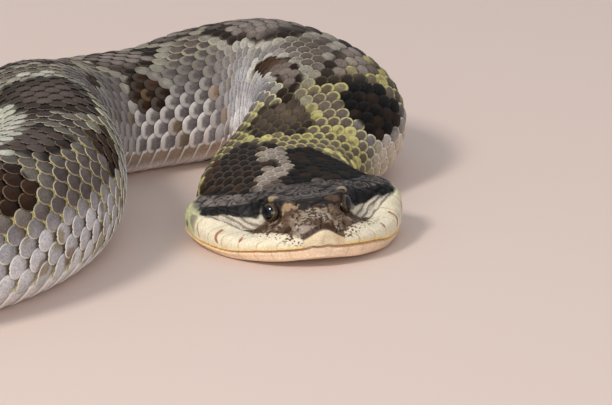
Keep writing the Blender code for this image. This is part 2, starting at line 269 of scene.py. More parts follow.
class Surface:
    """The snake's smooth outside, as a fine table over (s, q)."""

    def __init__(self):
        along, points, headings = centreline()
        head_s = -HEAD_LENGTH * (1 - np.linspace(0, 1, HEAD_SECTIONS + 1)[:-1] ** 1.6)
        self.s = np.concatenate([head_s, np.arange(0, BODY_LENGTH + 0.1, 0.5)])
        self.q = np.linspace(-1, 1, 2 * HALF_POINTS + 1)
        section = np.array([cross_section(s) for s in self.s])
        centre = np.stack([np.interp(self.s, along, points[:, k]) for k in range(2)], 1)
        ahead = np.array([math.cos(headings[0]), math.sin(headings[0])])
        on_head = self.s < 0
        centre[on_head] = np.array(NAPE_AT) + self.s[on_head, None] * ahead
        heading = np.interp(self.s, along, headings)
        left = np.stack([np.sin(heading), -np.cos(heading)], 1)
        flat = centre[:, None] + left[:, None] * section[..., :1]
        self.out = section[..., 0]
        self.points = np.concatenate([flat, section[..., 1:]], -1)
        d_s = np.gradient(self.points, self.s, axis=0)
        d_q = np.gradient(self.points, self.q, axis=1)
        blunt = np.clip(1 - (self.s + HEAD_LENGTH) / SNOUT_FRONT, 0, 1)[:, None, None]
        self.normals = unit(unit(np.cross(d_q, d_s)) * (1 - blunt) + np.append(-ahead, 0) * blunt)
        self.stretch = np.linalg.norm(d_s, axis=-1)
        self.half_girth = np.linalg.norm(np.diff(section, axis=1), axis=-1).sum(1) / 2

    def read(self, table, s, q):
        """What one of the tables holds at (s, q), between its places."""
        s, q = np.broadcast_arrays(np.asarray(s, float), np.asarray(q, float))
        i = np.clip(np.searchsorted(self.s, s, side="right") - 1, 0, len(self.s) - 2)
        u = np.clip((s - self.s[i]) / (self.s[i + 1] - self.s[i]), 0, 1)
        span_q = len(self.q) - 1
        turn = (q + 1) % 2 * span_q / 2
        j = np.clip(turn.astype(int), 0, span_q - 1)
        v = turn - j
        if table.ndim == 3:
            u, v = u[..., None], v[..., None]
        return ((1 - u) * ((1 - v) * table[i, j] + v * table[i, j + 1])
                + u * ((1 - v) * table[i + 1, j] + v * table[i + 1, j + 1]))

    def at(self, s, q, lift=0.0):
        """Points at (s, q), raised by lift, in mm in the frame's own axes."""
        place = self.read(self.points, s, q)
        place = place + self.read(self.normals, s, q) * np.asarray(lift, float)[..., None]
        place[..., 2] = np.maximum(place[..., 2], FLOOR_CLEAR)
        return place + SHIFT

    def girth(self, s):
        return np.interp(s, self.s, self.half_girth)

    def pull(self, s, q):
        """How far the bend stretches the flank there, against the middle of the body."""
        return self.read(self.stretch, s, q)


def head_place(back, out, up):
    """A point of the head: behind the snout, out to the snake's left, and above the floor."""
    ahead = math.radians(HEADING)
    along = back - HEAD_LENGTH
    x = NAPE_AT[0] + along * math.cos(ahead) + out * math.sin(ahead)
    y = NAPE_AT[1] + along * math.sin(ahead) - out * math.cos(ahead)
    return np.array([x, y, up * (1 + HEAD_LEAN * out)])


low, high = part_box("eye_left")
SHIFT = (np.array(low) + np.array(high)) / 2 / MM - head_place(EYE_BACK, EYE_OUT, EYE_UP)
SHIFT[2] = 0.0
FLOOR_CLEAR = 0.02
surface = Surface()

# ---- markings of the body

# Blotches: (s, q, half length in s, half width in q, how far s leans over for each unit of q).
BACK_BLOTCHES = [
    (16, -0.11, 5.2, 0.17, 0), (36, 0.06, 7.0, 0.14, 40), (57, -0.03, 10.5, 0.20, 0),
    (72.5, 0.10, 4.2, 0.12, 0), (86, -0.03, 7.0, 0.15, -6), (105.5, 0.0, 7.8, 0.17, 0),
    (134, -0.02, 9.5, 0.20, 0), (161, -0.01, 8.5, 0.17, 0),
]
BACK_BLOTCHES += [(186 + 24.5 * k, 0.02 * (-1) ** k, 8.8 - 0.9 * (k % 3), 0.20 + 0.025 * (k % 2),
                   16 * math.sin(2.1 * k)) for k in range(11)]
BACK_BLOTCHES += [(454 + 13.5 * k, 0.0, 4.2, 0.24, 0) for k in range(8)]
# Smaller ones on the flanks, which alternate with those of the back.
FLANK_BLOTCHES = [
    (34, -0.28, 7.0, 0.12, -80), (87.5, -0.32, 4.0, 0.085, 0), (105, -0.29, 3.0, 0.05, 0),
    (124, -0.35, 4.5, 0.09, 0), (148, -0.31, 4.5, 0.10, 0), (178.5, -0.25, 8.2, 0.115, 0),
    (50, 0.36, 5, 0.10, 0), (73, 0.36, 5, 0.10, 0), (97, 0.34, 5, 0.10, 0), (121, 0.34, 5, 0.10, 0),
    (147, 0.34, 5, 0.10, 0), (172, 0.34, 5, 0.10, 0),
]
FLANK_BLOTCHES += [(198 + 24.5 * k, side * 0.33, 5.5 - 0.4 * (k % 2), 0.10, 0)
                   for k in range(10) for side in (-1, 1)]
# Black ones: a small one behind the crown, the two great patches of the hood, and one on its left.
HOOD_BLOTCHES = [
    (-8.6, 0.01, 5.4, 0.075, 30), (-4.0, -0.290, 10.2, 0.20, 30), (-5.0, 0.285, 10.8, 0.275, -12),
    (27.2, 0.235, 5.4, 0.17, 0),
]
# Dark specks beside the hood's grey stripe, and pale spots over the blotches of the back.
HOOD_SPECKS = [(-2.0, -0.075, 1.5, 0.035, 0), (7.2, -0.07, 1.6, 0.04, 0)]
PALE_SPOTS = [
    (122.0, 0.0, 2.6, 0.035, 0), (122.5, -0.09, 2.6, 0.035, 0), (120.0, 0.15, 5.0, 0.05, 0),
    (140.0, 0.20, 6.5, 0.075, 0), (151.0, 0.155, 7.5, 0.075, 0), (161.0, 0.075, 6.0, 0.06, 0),
    (172.0, -0.02, 3.0, 0.05, 40),
]
BLOTCH_POWER, BLOTCH_REACH = 2.8, 30
NEAR_LOOP = (138, 150, 195, 230)        # the stretch that comes forward beside the head
NET_AT = (58, 76, 124, 140)             # the stretch with broad pale rims, behind the hood
BLOTCH_RIM = (-0.03, 0.05)              # the outer edge of a blotch, in depths from inside()

GROUND = rgb(92, 80, 74)
FLANK = rgb(130, 126, 127)
# the low flanks' own pale grey, made paler as painted bounce light where they face down
LOW_FLANK_AND_BOUNCE = rgb(212, 208, 208)
# warm beige of the neck's left flank: partly its own colour, partly painted bounce light on its shaded side
NECK_BEIGE_AND_BOUNCE = rgb(204, 186, 165)
BELLY = rgb(248, 236, 230)
LOOP_BACK, LOOP_UPPER, LOOP_FLANK = rgb(47, 39, 36), rgb(94, 82, 77), rgb(158, 154, 155)
# the near loop's pale low rows, made paler still as painted bounce light
LOOP_LOW_AND_BOUNCE = rgb(182, 178, 179)
NET_SCALE = rgb(88, 81, 78), rgb(120, 112, 109)         # high and low on the flank
NET_RIM = rgb(108, 100, 96), rgb(232, 223, 217)
HOOD_GROUND, YELLOW, HOOD_STRIPE = rgb(98, 86, 74), rgb(184, 175, 112), rgb(138, 126, 115)
HOOD_BLACK, HOOD_GREYER_BLACK, HOOD_FLECK = rgb(16, 14, 12), rgb(36, 30, 26), rgb(58, 40, 27)
BACK_BLOTCH, UMBER = rgb(54, 44, 39), rgb(76, 63, 56)
NECK_BLOTCH, GREY_CENTRE, DARK_CENTRE = rgb(118, 100, 86), rgb(138, 126, 118), rgb(98, 87, 82)
FLANK_BLOTCH, CHOCOLATE, DULL_BLOTCH = rgb(42, 28, 19), rgb(62, 41, 26), rgb(124, 112, 104)
BLOTCH_EDGE, PALE_BORDER, PALE_SPOT = rgb(26, 19, 15), rgb(186, 182, 164), rgb(178, 178, 165)
RIM_CREAM, RIM_WHITE, RIM_BACK = rgb(206, 199, 160), rgb(232, 228, 220), rgb(112, 103, 90)
# the near loop's low rims are white, and partly painted bounce light
RIM_LOOP, RIM_LOOP_LOW_AND_BOUNCE, RIM_CROWN = rgb(176, 160, 140), rgb(240, 234, 226), rgb(104, 93, 86)
RIM_DARK, RIM_BROWN, RIM_STRIPE = rgb(58, 46, 38), rgb(98, 80, 64), rgb(190, 180, 160)
RIM_BLACK, RIM_GREYER_BLACK = rgb(30, 24, 20), rgb(72, 60, 50)
RUST, RUST_DULL, OLIVE, OCHRE = rgb(126, 99, 66), rgb(98, 83, 69), rgb(146, 136, 84), rgb(112, 76, 46)
GOLD_FLECK, HOOD_DULL, SCUTE_OCHRE = rgb(122, 106, 72), rgb(88, 76, 62), rgb(206, 158, 84)
SKIN_PALE, SKIN_YELLOW, SKIN_SHADOW = rgb(190, 182, 176), rgb(206, 195, 122), rgb(70, 54, 43)

pitch = through(
    (-14, 1.75), (0, 2.2), (20, 2.8), (60, 3.2), (110, 3.3), (150, 3.6), (440, 3.6),
    (475, 2.7), (568, 1.7))         # from one scale to the next along the body
belly_edge = through(
    (-14, 0.50), (0, 0.60), (20, 0.66), (60, 0.64), (90, 0.61), (140, 0.68),
    (440, 0.68), (475, 0.74), (568, 0.76))
stripe_middle = through((-12, -0.15), (-7.5, -0.11), (-3, -0.04), (4, -0.035), (7, -0.04))
stripe_half = through((-12, 0.022), (-7.5, 0.03), (-4, 0.05), (4, 0.06), (7, 0.05))


def inside(s, q, blotch, wobble):
    """How far into a blotch a place is: 1 in its middle, 0 on its edge, and negative outside."""
    at, side, half_s, half_q, lean = blotch
    u = np.abs(s - at - lean * (q - side)) / half_s
    v = np.abs(q - side) / half_q
    return 1 - (u**BLOTCH_POWER + v**BLOTCH_POWER) ** (1 / BLOTCH_POWER) + wobble


def deepest(s, q, blotches, wobble):
    """How far a place is into the one of these blotches that it is deepest in."""
    found = np.full(np.shape(s), -9.0)
    for blotch in blotches:
        near = np.abs(s - blotch[0]) < BLOTCH_REACH
        found = np.where(near, np.maximum(found, inside(s, q, blotch, wobble)), found)
    return found


def on_stripe(s, q):
    """1 on the grey stripe between the hood's black patches."""
    wander = 0.04 * (noise(s / 2.0, q * 6, seed=41) - 0.5)
    return step(1.25, 0.85, np.abs(q - stripe_middle(s) + wander) / stripe_half(s)) * step(8, 6, s)


def on_hood(s, q):
    """1 where the neck's yellow ground is, 0 on the grey of the body."""
    upper = span(s, -13, -10.5, 16, 26) * step(0.66, 0.5, np.abs(q)) * (1 - on_stripe(s, q))
    upper = upper * (1 - step(-6, -8, s) * step(0.24, 0.18, np.abs(q)))
    left_line = step(40, 33, s - 50 * (q - 0.1)) * step(0.32, 0.2, np.abs(q - 0.1))
    return np.maximum(upper, left_line * span(s, 20, 26, 38, 48))


class Marks:
    """Places on the body, with the colours of the scales there and of their rims."""

    def __init__(self, s, q):
        self.s, self.q = s, q = np.broadcast_arrays(np.asarray(s, float), np.asarray(q, float))
        self.side = np.abs(q)
        self.loop = span(s, *NEAR_LOOP) * step(0.54, 0.42, self.side)
        self.loop_low = span(s, *NEAR_LOOP) * span(self.side, 0.40, 0.46, 0.58, 0.66)
        self.net = span(s, *NET_AT) * step(0.10, 0.22, self.side)
        self.hood = on_hood(s, q)
        self.wobble = (0.34 * (noise(s / 4.5, q * 9, seed=3) - 0.5)
                       + 0.22 * (noise(s / 1.8, q * 22, seed=4) - 0.5))
        self.back = deepest(s, q, BACK_BLOTCHES, self.wobble)
        self.flank = deepest(s, q, FLANK_BLOTCHES, self.wobble)
        self.spots = step(-0.1, 0.2, deepest(s, q, PALE_SPOTS, 0.5 * self.wobble))


def ground_colour(m):
    """Dark along the back, grey on the flanks, and pale on the belly."""
    side = m.side
    loop = paint(LOOP_BACK, (LOOP_UPPER, step(0.08, 0.40, side)), (LOOP_FLANK, step(0.38, 0.50, side)))
    tint = paint(GROUND, (FLANK, step(0.12, 0.42, side)), (LOW_FLANK_AND_BOUNCE, step(0.46, 0.60, side)),
                 (loop, 0.9 * m.loop), (LOOP_LOW_AND_BOUNCE, 0.85 * m.loop_low),
                 # beige on the neck's left flank, partly painted bounce light
                 (NECK_BEIGE_AND_BOUNCE, step(70, 50, m.s) * step(0.36, 0.5, m.q)),
                 (BELLY, step(-0.02, 0.05, side - belly_edge(m.s))))
    return tint * (0.80 + 0.40 * noise(m.s / 3.2, m.q * 12, seed=7))[..., None]


def rim_colour(m, tint):
    """Cream rims on the back and white ones on the flanks, duller along the back's middle."""
    return paint(RIM_CREAM, (RIM_WHITE, step(0.3, 0.5, m.side) * step(1, 0, m.loop)),
                 (RIM_BACK, 0.75 * step(0.24, 0.08, m.side)), (RIM_LOOP, 0.7 * m.loop),
                 (RIM_LOOP_LOW_AND_BOUNCE, m.loop_low), (RIM_CROWN, step(-9, -11.5, m.s)),
                 (tint, 0.45 * step(200, 260, m.s)))


def back_blotch_colour(m):
    """Brown saddles, with grey centres on the neck and the trunk's front."""
    s, back = m.s, m.back
    brown = paint(BACK_BLOTCH, (UMBER, noise(s / 3, m.q * 12, seed=9)),
                  (NECK_BLOTCH, 0.5 * span(s, 10, 22, 40, 50)))
    brown = brown * (1 - 0.20 * step(26, 20, s) * step(20, 12, s + 12 * m.q))[..., None]
    return paint(brown, (GREY_CENTRE, 0.8 * step(0.12, 0.5, back) * span(s, 24, 34, 112, 125)),
                 (DARK_CENTRE, 0.5 * step(0.25, 0.7, back) * step(112, 125, s)))


def with_blotches(m, tint):
    """The blotches of back and flanks, with their pale borders and dark edges."""
    border = np.maximum(step(-0.34, -0.10, m.back), step(-0.40, -0.14, m.flank)) * (1 - 0.6 * m.loop)
    chocolate = blend(FLANK_BLOTCH, CHOCOLATE, noise(m.s / 1.6, m.q * 26, seed=10))
    dull = span(m.s, 10, 20, 30, 40) * step(-0.14, -0.2, m.q) * step(0.15, 0.35, m.flank)
    return paint(tint,
                 (blend(PALE_BORDER, YELLOW, m.hood), (0.42 - 0.17 * m.hood) * border * (m.side < 0.6)),
                 (back_blotch_colour(m), step(*BLOTCH_RIM, m.back)),
                 (BLOTCH_EDGE, 0.85 * span(m.back, -0.03, 0.03, 0.10, 0.36)),
                 (PALE_SPOT, m.spots),
                 (chocolate, step(*BLOTCH_RIM, m.flank)),
                 (BLOTCH_EDGE, 0.7 * span(m.flank, -0.03, 0.03, 0.08, 0.3)),
                 (DULL_BLOTCH, 0.75 * dull))


def marking(s, q):
    """The colour of a place on the body, that of the rims of scales there, and how broad the rims are."""
    m = Marks(s, q)
    tint = ground_colour(m)
    rim = rim_colour(m, tint)
    lower = step(0.26, 0.56, m.side)
    tint = paint(tint, (blend(*NET_SCALE, lower), 0.85 * m.net * step(0.74, 0.66, m.side)),
                 (HOOD_GROUND, m.hood))
    in_blotch = np.maximum(step(*BLOTCH_RIM, m.back) * (1 - m.spots), step(*BLOTCH_RIM, m.flank))
    rim = paint(rim, (blend(*NET_RIM, lower), 0.95 * m.net), (YELLOW, m.hood),
                (blend(RIM_DARK, RIM_BROWN, step(130, 150, m.s)), 0.9 * in_blotch))
    specks = deepest(m.s, m.q, HOOD_SPECKS, 0)
    black = step(-0.03, 0.04, deepest(m.s, m.q, HOOD_BLOTCHES, m.wobble * 0.35))
    stripe = on_stripe(m.s, m.q) * step(-0.05, -0.2, specks)
    dark = np.maximum(black, step(-0.05, 0.1, specks)) * (1 - stripe)
    # the hood's black is greyer and more flecked on the snake's right side
    right = step(0.0, -0.1, m.q)
    flecks = step(0.60, 0.78, noise(m.s / 1.2, m.q * 30, seed=11)) * (0.5 + 0.5 * right)
    hood_black = paint(HOOD_BLACK, (HOOD_GREYER_BLACK, right), (HOOD_FLECK, flecks))
    tint = paint(with_blotches(m, tint), (hood_black, dark), (HOOD_STRIPE, 0.95 * stripe))
    rim = paint(rim, (blend(RIM_BLACK, RIM_GREYER_BLACK, right), dark), (RIM_STRIPE, stripe))
    return tint, rim, 1.0 + 1.9 * m.net - 0.3 * m.loop + 0.9 * m.hood


def between_scales(s, q):
    """The colour of the skin that shows between scales, with painted shadow in the low gaps of the near loop,
    and the pale skin a little lighter as painted light.
    """
    tint, _, _ = marking(s, q)
    side = np.abs(q)
    shadow = span(s, 150, 162, 200, 230) * span(side, 0.42, 0.48, 0.60, 0.66)
    pale = paint(SKIN_PALE, (SKIN_YELLOW, span(s, 130, 150, 200, 230) * step(0.08, 0.2, side)),
                 (SKIN_SHADOW, 0.9 * shadow), (YELLOW, on_hood(s, q)),
                 (BELLY, step(-0.04, 0.03, side - belly_edge(s))))
    # painted light: the pale skin is lifted a little against the shade of the gaps
    return blend(tint * 0.5, pale * 1.02, step(0.03, 0.13, tint.mean(-1)))


# ---- meshes from arrays


def ring_quads(rings, around, start=0):
    """Quads between rings of points, stored one ring after the other."""
    i = np.arange(rings - 1)[:, None] * around
    j = np.arange(around)[None]
    k = (j + 1) % around
    return np.stack([i + j, i + around + j, i + around + k, i + k], -1).reshape(-1, 4) + start


def ring_fan(point, start, around):
    """Triangles from one point to the ring of points that begins at start."""
    j = np.arange(around)
    return np.stack([np.full(around, point), start + (j + 1) % around, start + j], 1)


def add_layer(mesh, name, kind, field, values):
    layer = mesh.attributes.new(name, kind, "POINT")
    layer.data.foreach_set(field, values.astype(np.float32).ravel())


def add_mesh(name, material, points, quads, triangles=(), colours=None, vectors=None, uv=None):
    """An object made from arrays of points in mm, with named colours and vectors at its points."""
    mesh = bpy.data.meshes.new(name)
    faces = np.asarray(quads).tolist() + np.asarray(triangles).tolist()
    mesh.from_pydata((np.asarray(points) * MM).tolist(), [], faces)
    mesh.shade_smooth()
    mesh.validate()
    for key, values in (colours or {}).items():
        opaque = np.pad(values, ((0, 0), (0, 1)), constant_values=1)
        add_layer(mesh, key, "FLOAT_COLOR", "color", opaque)
    for key, values in (vectors or {}).items():
        add_layer(mesh, key, "FLOAT_VECTOR", "vector", values)
    if uv is not None:
        layer = mesh.uv_layers.new(name="OFBake")
        index = np.zeros(len(mesh.loops), np.int32)
        mesh.loops.foreach_get("vertex_index", index)
        layer.data.foreach_set("uv", uv[index].astype(np.float32).ravel())
    mesh.materials.append(material)
    made = bpy.data.objects.new(name, mesh)
    bpy.context.scene.collection.objects.link(made)
    return made


# ---- scales

COAT_DEPTH = 0.32               # from the outside of the solids down to the skin
UNDER_SCALE, UNDER_SCUTE = 0.12, 0.10   # how far their closed undersides reach into it
FULL_PITCH = 3.6                # the scales are thinner where they lie closer than this
SCALE_BREADTH, SCALE_LENGTH, SCUTE_LENGTH = 0.73, 1.09, 1.3     # against width and pitch: they overlap
ACROSS = np.array([-1, -0.82, -0.5, -0.17, 0, 0.17, 0.5, 0.82, 1])[None, None]
DOWN = (1 - (1 - np.linspace(0, 1, 11)) ** 1.35)[None, :, None]
SCUTE_ACROSS = np.linspace(-1, 1, 33)[None, None]
SCUTE_DOWN = DOWN[:, ::2]
SCALE_MIDDLE = 0.42             # the scale's place is this far down it
KEELED_ROWS = 10
LOWEST_ROWS = (1.08, 1.18, 1.32, 1.55)        # widths of the lowest rows of scales, against the others
ROWS_ON_A_SIDE = ((0, 11), (380, 10), (405, 9), (430, 8), (462, 7), (488, 6), (510, 5), (530, 4),
                  (546, 3), (558, 2))
FIRST_SCALE, LAST_SCALE = -11.5, BODY_LENGTH - 1.5
FIRST_SCUTE, LAST_SCUTE = 2.0, BODY_LENGTH - 4
TAIL_FROM = 462                 # the scutes are paired from here
PATCH, SCUTE_PATCH_AT = 0.0014, (0.985, 0.995)          # half a patch of the map, and where scutes lie on it

leaf = through(
    (0, 0.22), (0.14, 0.58), (0.30, 0.88), (0.46, 1.0), (0.68, 0.93), (0.85, 0.70),
    (0.95, 0.42), (1, 0.13))         # half the width of a scale, from its root to its tip
# The body's scales begin this far behind the snout, at each q. Before that lie the plates of the head.
scales_from = through(
    (0, 14.5), (0.12, 14.8), (0.18, 15.8), (0.22, 16.9), (0.28, 18.6), (0.38, 22),
    (0.46, 25), (0.6, 27))


def stations(start, end):
    """Places along the body, each a scale's pitch behind the last."""
    places = [start]
    while places[-1] < end:
        places.append(places[-1] + float(pitch(places[-1])))
    return np.array(places)


def row_places(s, rows):
    """Middle and width of each row of scales, in q, from the back to the belly's edge."""
    share = np.ones(rows + 1)
    share[0] = 0.5
    widened = min(len(LOWEST_ROWS), rows)
    share[-widened:] = LOWEST_ROWS[-widened:]
    edges = np.cumsum(share) / share.sum() * float(belly_edge(s))
    widths = np.diff(np.concatenate([[-edges[0]], edges]))
    middles = np.concatenate([[0], (edges[:-1] + edges[1:]) / 2])
    return middles, widths


def scale_list():
    """(s, q, width in q, row) of every scale of the back and flanks."""
    found = []
    for s in stations(FIRST_SCALE, LAST_SCALE):
        rows = [n for start, n in ROWS_ON_A_SIDE if s >= start or start == 0][-1]
        for row in range(-rows, rows + 1):
            place = s + (0.5 * float(pitch(s)) if row % 2 else 0.0)
            middles, widths = row_places(place, rows)
            middle = math.copysign(middles[abs(row)], row)
            on_plates = place < 0 and place + HEAD_LENGTH < float(scales_from(abs(middle))) + 0.7
            if not on_plates and place <= LAST_SCALE:
                found.append((place, middle, widths[abs(row)], row))
    return np.array(found)


class Scales:
    """Places on scales of the back and flanks, in arrays over (scale, down it, across it)."""

    def __init__(self, listed):
        rng = np.random.default_rng(len(listed))
        draws = [rng.random((len(listed), 1, 1)) for _ in range(6)]
        off = [draw - 0.5 for draw in draws]
        self.own, self.shade = draws[4:]
        self.s0, self.q0, wide, self.row = (listed[:, k][:, None, None] for k in range(4))
        girth = surface.girth(self.s0)
        self.pull = surface.pull(self.s0, self.q0)
        self.size = np.clip(pitch(self.s0) / FULL_PITCH, 0.4, 1) * np.clip(0.3 + 0.7 * self.pull, 0.35, 1)
        half = SCALE_BREADTH * wide * girth * (1 + 0.07 * off[0]) * leaf(DOWN)
        drawn = np.where(self.pull > 1, 0.55 + 0.45 * self.pull, np.maximum(self.pull, 0.1) ** 0.75)
        length = SCALE_LENGTH * pitch(self.s0) * drawn * (1 + 0.06 * off[1])
        self.s = self.s0 + (DOWN - SCALE_MIDDLE) * length / np.maximum(self.pull, 0.3)
        self.q = self.q0 + ACROSS * half / girth
        self.edge = np.minimum((1 - np.abs(ACROSS)) * half, 0.9 * (1 - DOWN) * length)
        self.seen_s = self.s0 + 0.3 * (self.s - self.s0) + 1.4 * off[2]
        self.seen_q = self.q0 + 0.25 * (self.q - self.q0) + 0.024 * off[3]


def scale_lift(c):
    """How far a scale's top stands off: it rises to a free tip, and is domed and keeled."""
    flat = step(20, 4, c.s0)
    rise = 0.05 + (0.26 - 0.10 * flat) * DOWN**1.3
    dome = 0.15 * (1 - ACROSS**2) * np.sin(math.pi * np.clip(DOWN, 0.02, 0.93))
    keel = (0.10 - 0.04 * flat) * bell(ACROSS, 0.11) * span(DOWN, 0.06, 0.25, 0.75, 1.0)
    keel = keel * (np.abs(c.row) < KEELED_ROWS)
    return c.size * (rise + dome + keel - 0.10 * np.abs(ACROSS) ** 5) - COAT_DEPTH


def rusty_at(c):
    """1 where scales of the flank are rusty."""
    side = np.abs(c.q0)
    rusty = step(0.70, 0.80, noise(c.s / 3.6, c.q * 13, seed=19)) * step(0.26, 0.32, side)
    rusty = np.maximum(rusty, (c.own > 0.88) * step(0.22, 0.30, side))
    return rusty * np.maximum(span(c.s0, 60, 66, 130, 138), step(195, 215, c.s0))


def scale_colours(c):
    """The markings, with each scale a little different from its neighbours."""
    tint, rim, broad = marking(c.seen_s, c.seen_q)
    hood = on_hood(c.s0, c.q0) * (tint.mean(-1) > 0.05)
    flecks = step(0.56, 0.68, noise(c.s / 0.7, c.q * 42, seed=20))
    tint = paint(tint, (blend(YELLOW, GOLD_FLECK, 0.8 * flecks), hood * (c.own < 0.24)),
                 (HOOD_DULL, 0.7 * hood * (c.own > 0.6)))
    tint = tint * (0.82 + 0.36 * c.shade)[..., None]
    olive = step(0.60, 0.74, noise(c.s / 3.0, c.q * 10, seed=18)) * step(0.36, 0.48, np.abs(c.q0))
    olive = olive * (c.s0 > 120) * (tint.mean(-1) > 0.12)
    tint = blend(tint, blend(OLIVE, OCHRE, c.own), 0.7 * olive)
    rusty = rusty_at(c)
    core = blend(RUST_DULL, RUST, step(0.90, 0.97, c.own))
    tint = blend(tint, core, 0.65 * rusty * (tint.mean(-1) > 0.12))
    squeezed = step(0.85, 0.5, c.pull)
    rim = paint(rim, (RUST, 0.4 * rusty), (tint * 1.25, 0.75 * squeezed))
    tint = blend(tint, tint * 1.22, squeezed) * (0.88 + 0.24 * noise(c.s / 0.5, c.q * 60, seed=17))[..., None]
    return tint, rim, broad


def on_map(along, place, first, second):
    """The map of a scale: a small patch of its own, at its place on the snake."""
    along = (along + HEAD_LENGTH) / (BODY_LENGTH + HEAD_LENGTH)
    return np.stack(np.broadcast_arrays(along + PATCH * first, place + PATCH * second), -1)


def join_scales(name, material, top, under, tint, rim, local, uv, uv_under):
    """One piece of many scales: each is a grid of points, closed by a fan to a point under it."""
    count, rows, columns = top.shape[:3]
    each = rows * columns
    grid = np.arange(each).reshape(rows, columns)
    quads = np.stack([grid[1:, :-1], grid[1:, 1:], grid[:-1, 1:], grid[:-1, :-1]], -1).reshape(-1, 4)
    border = np.concatenate([grid[0], grid[1:, -1], grid[-1, -2::-1], grid[-2:0:-1, 0]])
    fan = np.stack([border, np.roll(border, -1), np.full(len(border), each)], 1)
    base = (np.arange(count) * (each + 1))[:, None, None]

    def closed(values, last=0):
        """The values of the grid, and for the point under it those of one of its points."""
        flat = values.reshape(count, each, -1)
        return np.concatenate([flat, flat[:, last:last + 1]], 1).reshape(count * (each + 1), -1)

    points = np.concatenate([top.reshape(count, each, 3), under.reshape(count, 1, 3)], 1)
    return add_mesh(name, material, points.reshape(-1, 3), (quads + base).reshape(-1, 4),
                    (fan + base).reshape(-1, 3), colours={"Tint": closed(tint), "Rim": closed(rim)},
                    vectors={"Local": closed(local)}, uv=closed(uv, uv_under))


def build_scales(listed, name, material):
    """Joined solid scales: each is a keeled, domed leaf with a free tip, over a closed underside."""
    c = Scales(listed)
    top = surface.at(c.s, c.q, scale_lift(c))
    under = surface.at(c.s0, c.q0, -COAT_DEPTH - UNDER_SCALE)
    tint, rim, broad = scale_colours(c)
    local = np.stack(np.broadcast_arrays(ACROSS, DOWN, c.edge / broad), -1)
    uv = on_map(c.s0, (c.q0 + 1) / 2, ACROSS, 2 * DOWN - 1)
    return join_scales(name, material, top, under, tint, rim, local, uv, DOWN.size * ACROSS.size // 2)


def scute_list():
    """(s, lowest q, highest q) of the wide scutes of the belly, and of the pairs under the tail."""
    found = []
    for s in stations(FIRST_SCUTE, LAST_SCUTE):
        edge = float(belly_edge(s))
        cuts = (edge, 2 - edge) if s < TAIL_FROM else (edge, 1.0, 2 - edge)
        found += [(s, low_q, high_q) for low_q, high_q in zip(cuts[:-1], cuts[1:])]
    return np.array(found)


def build_belly_scales(name, material):
    """The scutes of the belly and under the tail, joined, each overlapping the next."""
    s0, low_q, high_q = (column[:, None, None] for column in scute_list().T)
    size = np.minimum(1.0, pitch(s0) / FULL_PITCH)
    length = SCUTE_LENGTH * pitch(s0)
    middle, reach = (low_q + high_q) / 2, (high_q - low_q) / 2 + 0.01
    q = middle + reach * SCUTE_ACROSS
    bow = 0.5 * size * np.clip((np.abs(SCUTE_ACROSS) - 0.75) / 0.25, 0, 1) ** 2
    s = s0 + ((SCUTE_DOWN - SCALE_MIDDLE) * length - bow) / np.maximum(surface.pull(s0, q), 0.8)
    lift = size * (0.06 + 0.24 * SCUTE_DOWN**1.2) - 0.10 * np.abs(SCUTE_ACROSS) ** 8 - COAT_DEPTH
    tint, rim, _ = marking(s0 + 0.3 * (s - s0), q - 2 * (q > 1))
    ochre = step(0.66, 0.8, noise(s0 / 9, SCUTE_ACROSS * 2, seed=13))
    shade = 0.92 + 0.16 * noise(s0 / 3.0, SCUTE_ACROSS * 3, seed=12)
    tint = blend(tint, SCUTE_OCHRE, 0.25 * ochre) * shade[..., None]
    edge = np.minimum((1 - np.abs(SCUTE_ACROSS)) * reach * surface.girth(s0), (1 - SCUTE_DOWN) * length)
    local = np.stack(np.broadcast_arrays(SCUTE_ACROSS, SCUTE_DOWN, edge), -1)
    uv = on_map(s0, np.where(low_q >= 1, *SCUTE_PATCH_AT[::-1]), 2 * SCUTE_DOWN - 1, SCUTE_ACROSS)
    under = surface.at(s0, middle, -COAT_DEPTH - UNDER_SCUTE)
    return join_scales(name, material, surface.at(s, q, lift), under, tint, rim, local, uv, 0)


# ---- the head's plates

LIP_END = 17.5                  # the lip plates end this far behind the snout
MOUTH_END = 21.5                # and the mouth ends here
LIP_PLATE, CHIN_PLATE = 3.5, 3.1        # their lengths along the lip
LIP_SEAM, CHIN_SEAM = 3.6, 2.0          # and their first seams
ROSTRAL_BACK, ROSTRAL_UP = 3.2, 3.3     # how far back and up the plate of the snout reaches
CHIN_ROW = -2.2                 # where the lower lip's plates end, down from the mouth line
EYE_SCALES = 11                 # round each eye
SMALL_SCALE = 1.7               # between the small scales of the head
NOSTRIL = (3.0, 4.9)            # how far back and out it lies
CHEEK_FOLD = ((9.5, 9.2), (12.0, 11.6), (15.0, 14.6))   # places (back, out) along the fold

# Plates of the crown and face: the places (back, out) that each one lies round, on the left side.
CROWN_PLATES = (
    ((3.4, 0.0),),                          # azygous
    ((3.0, 1.9), (2.4, 2.6)),               # internasal
    ((2.2, 4.6),), ((3.8, 5.2),),           # nasals
    ((5.2, 1.5),), ((5.4, 3.6),),           # prefrontals
    ((8.0, 0.0), (9.6, 0.0), (11.0, 0.0)),  # frontal
    ((8.4, 4.4), (9.8, 4.7), (11.0, 5.0)),  # supraocular
    ((13.0, 2.4), (14.6, 3.2), (12.6, 4.0)),    # parietal
)


def head_points(s, q):
    """(back, out, up) of places on the head."""
    return s + HEAD_LENGTH, surface.read(surface.out, s, q), surface.read(surface.points, s, q)[..., 2]


def on_top(back, out):
    """A place on the head's upper side, found from how far back and out it is."""
    i = int(np.argmin(np.abs(surface.s - (back - HEAD_LENGTH))))
    outs = surface.out[i, HALF_POINTS:]
    widest = int(np.argmax(outs)) + 1
    q = math.copysign(np.interp(abs(out), outs[:widest], surface.q[HALF_POINTS:][:widest]), out)
    return np.array(head_points(back - HEAD_LENGTH, q))


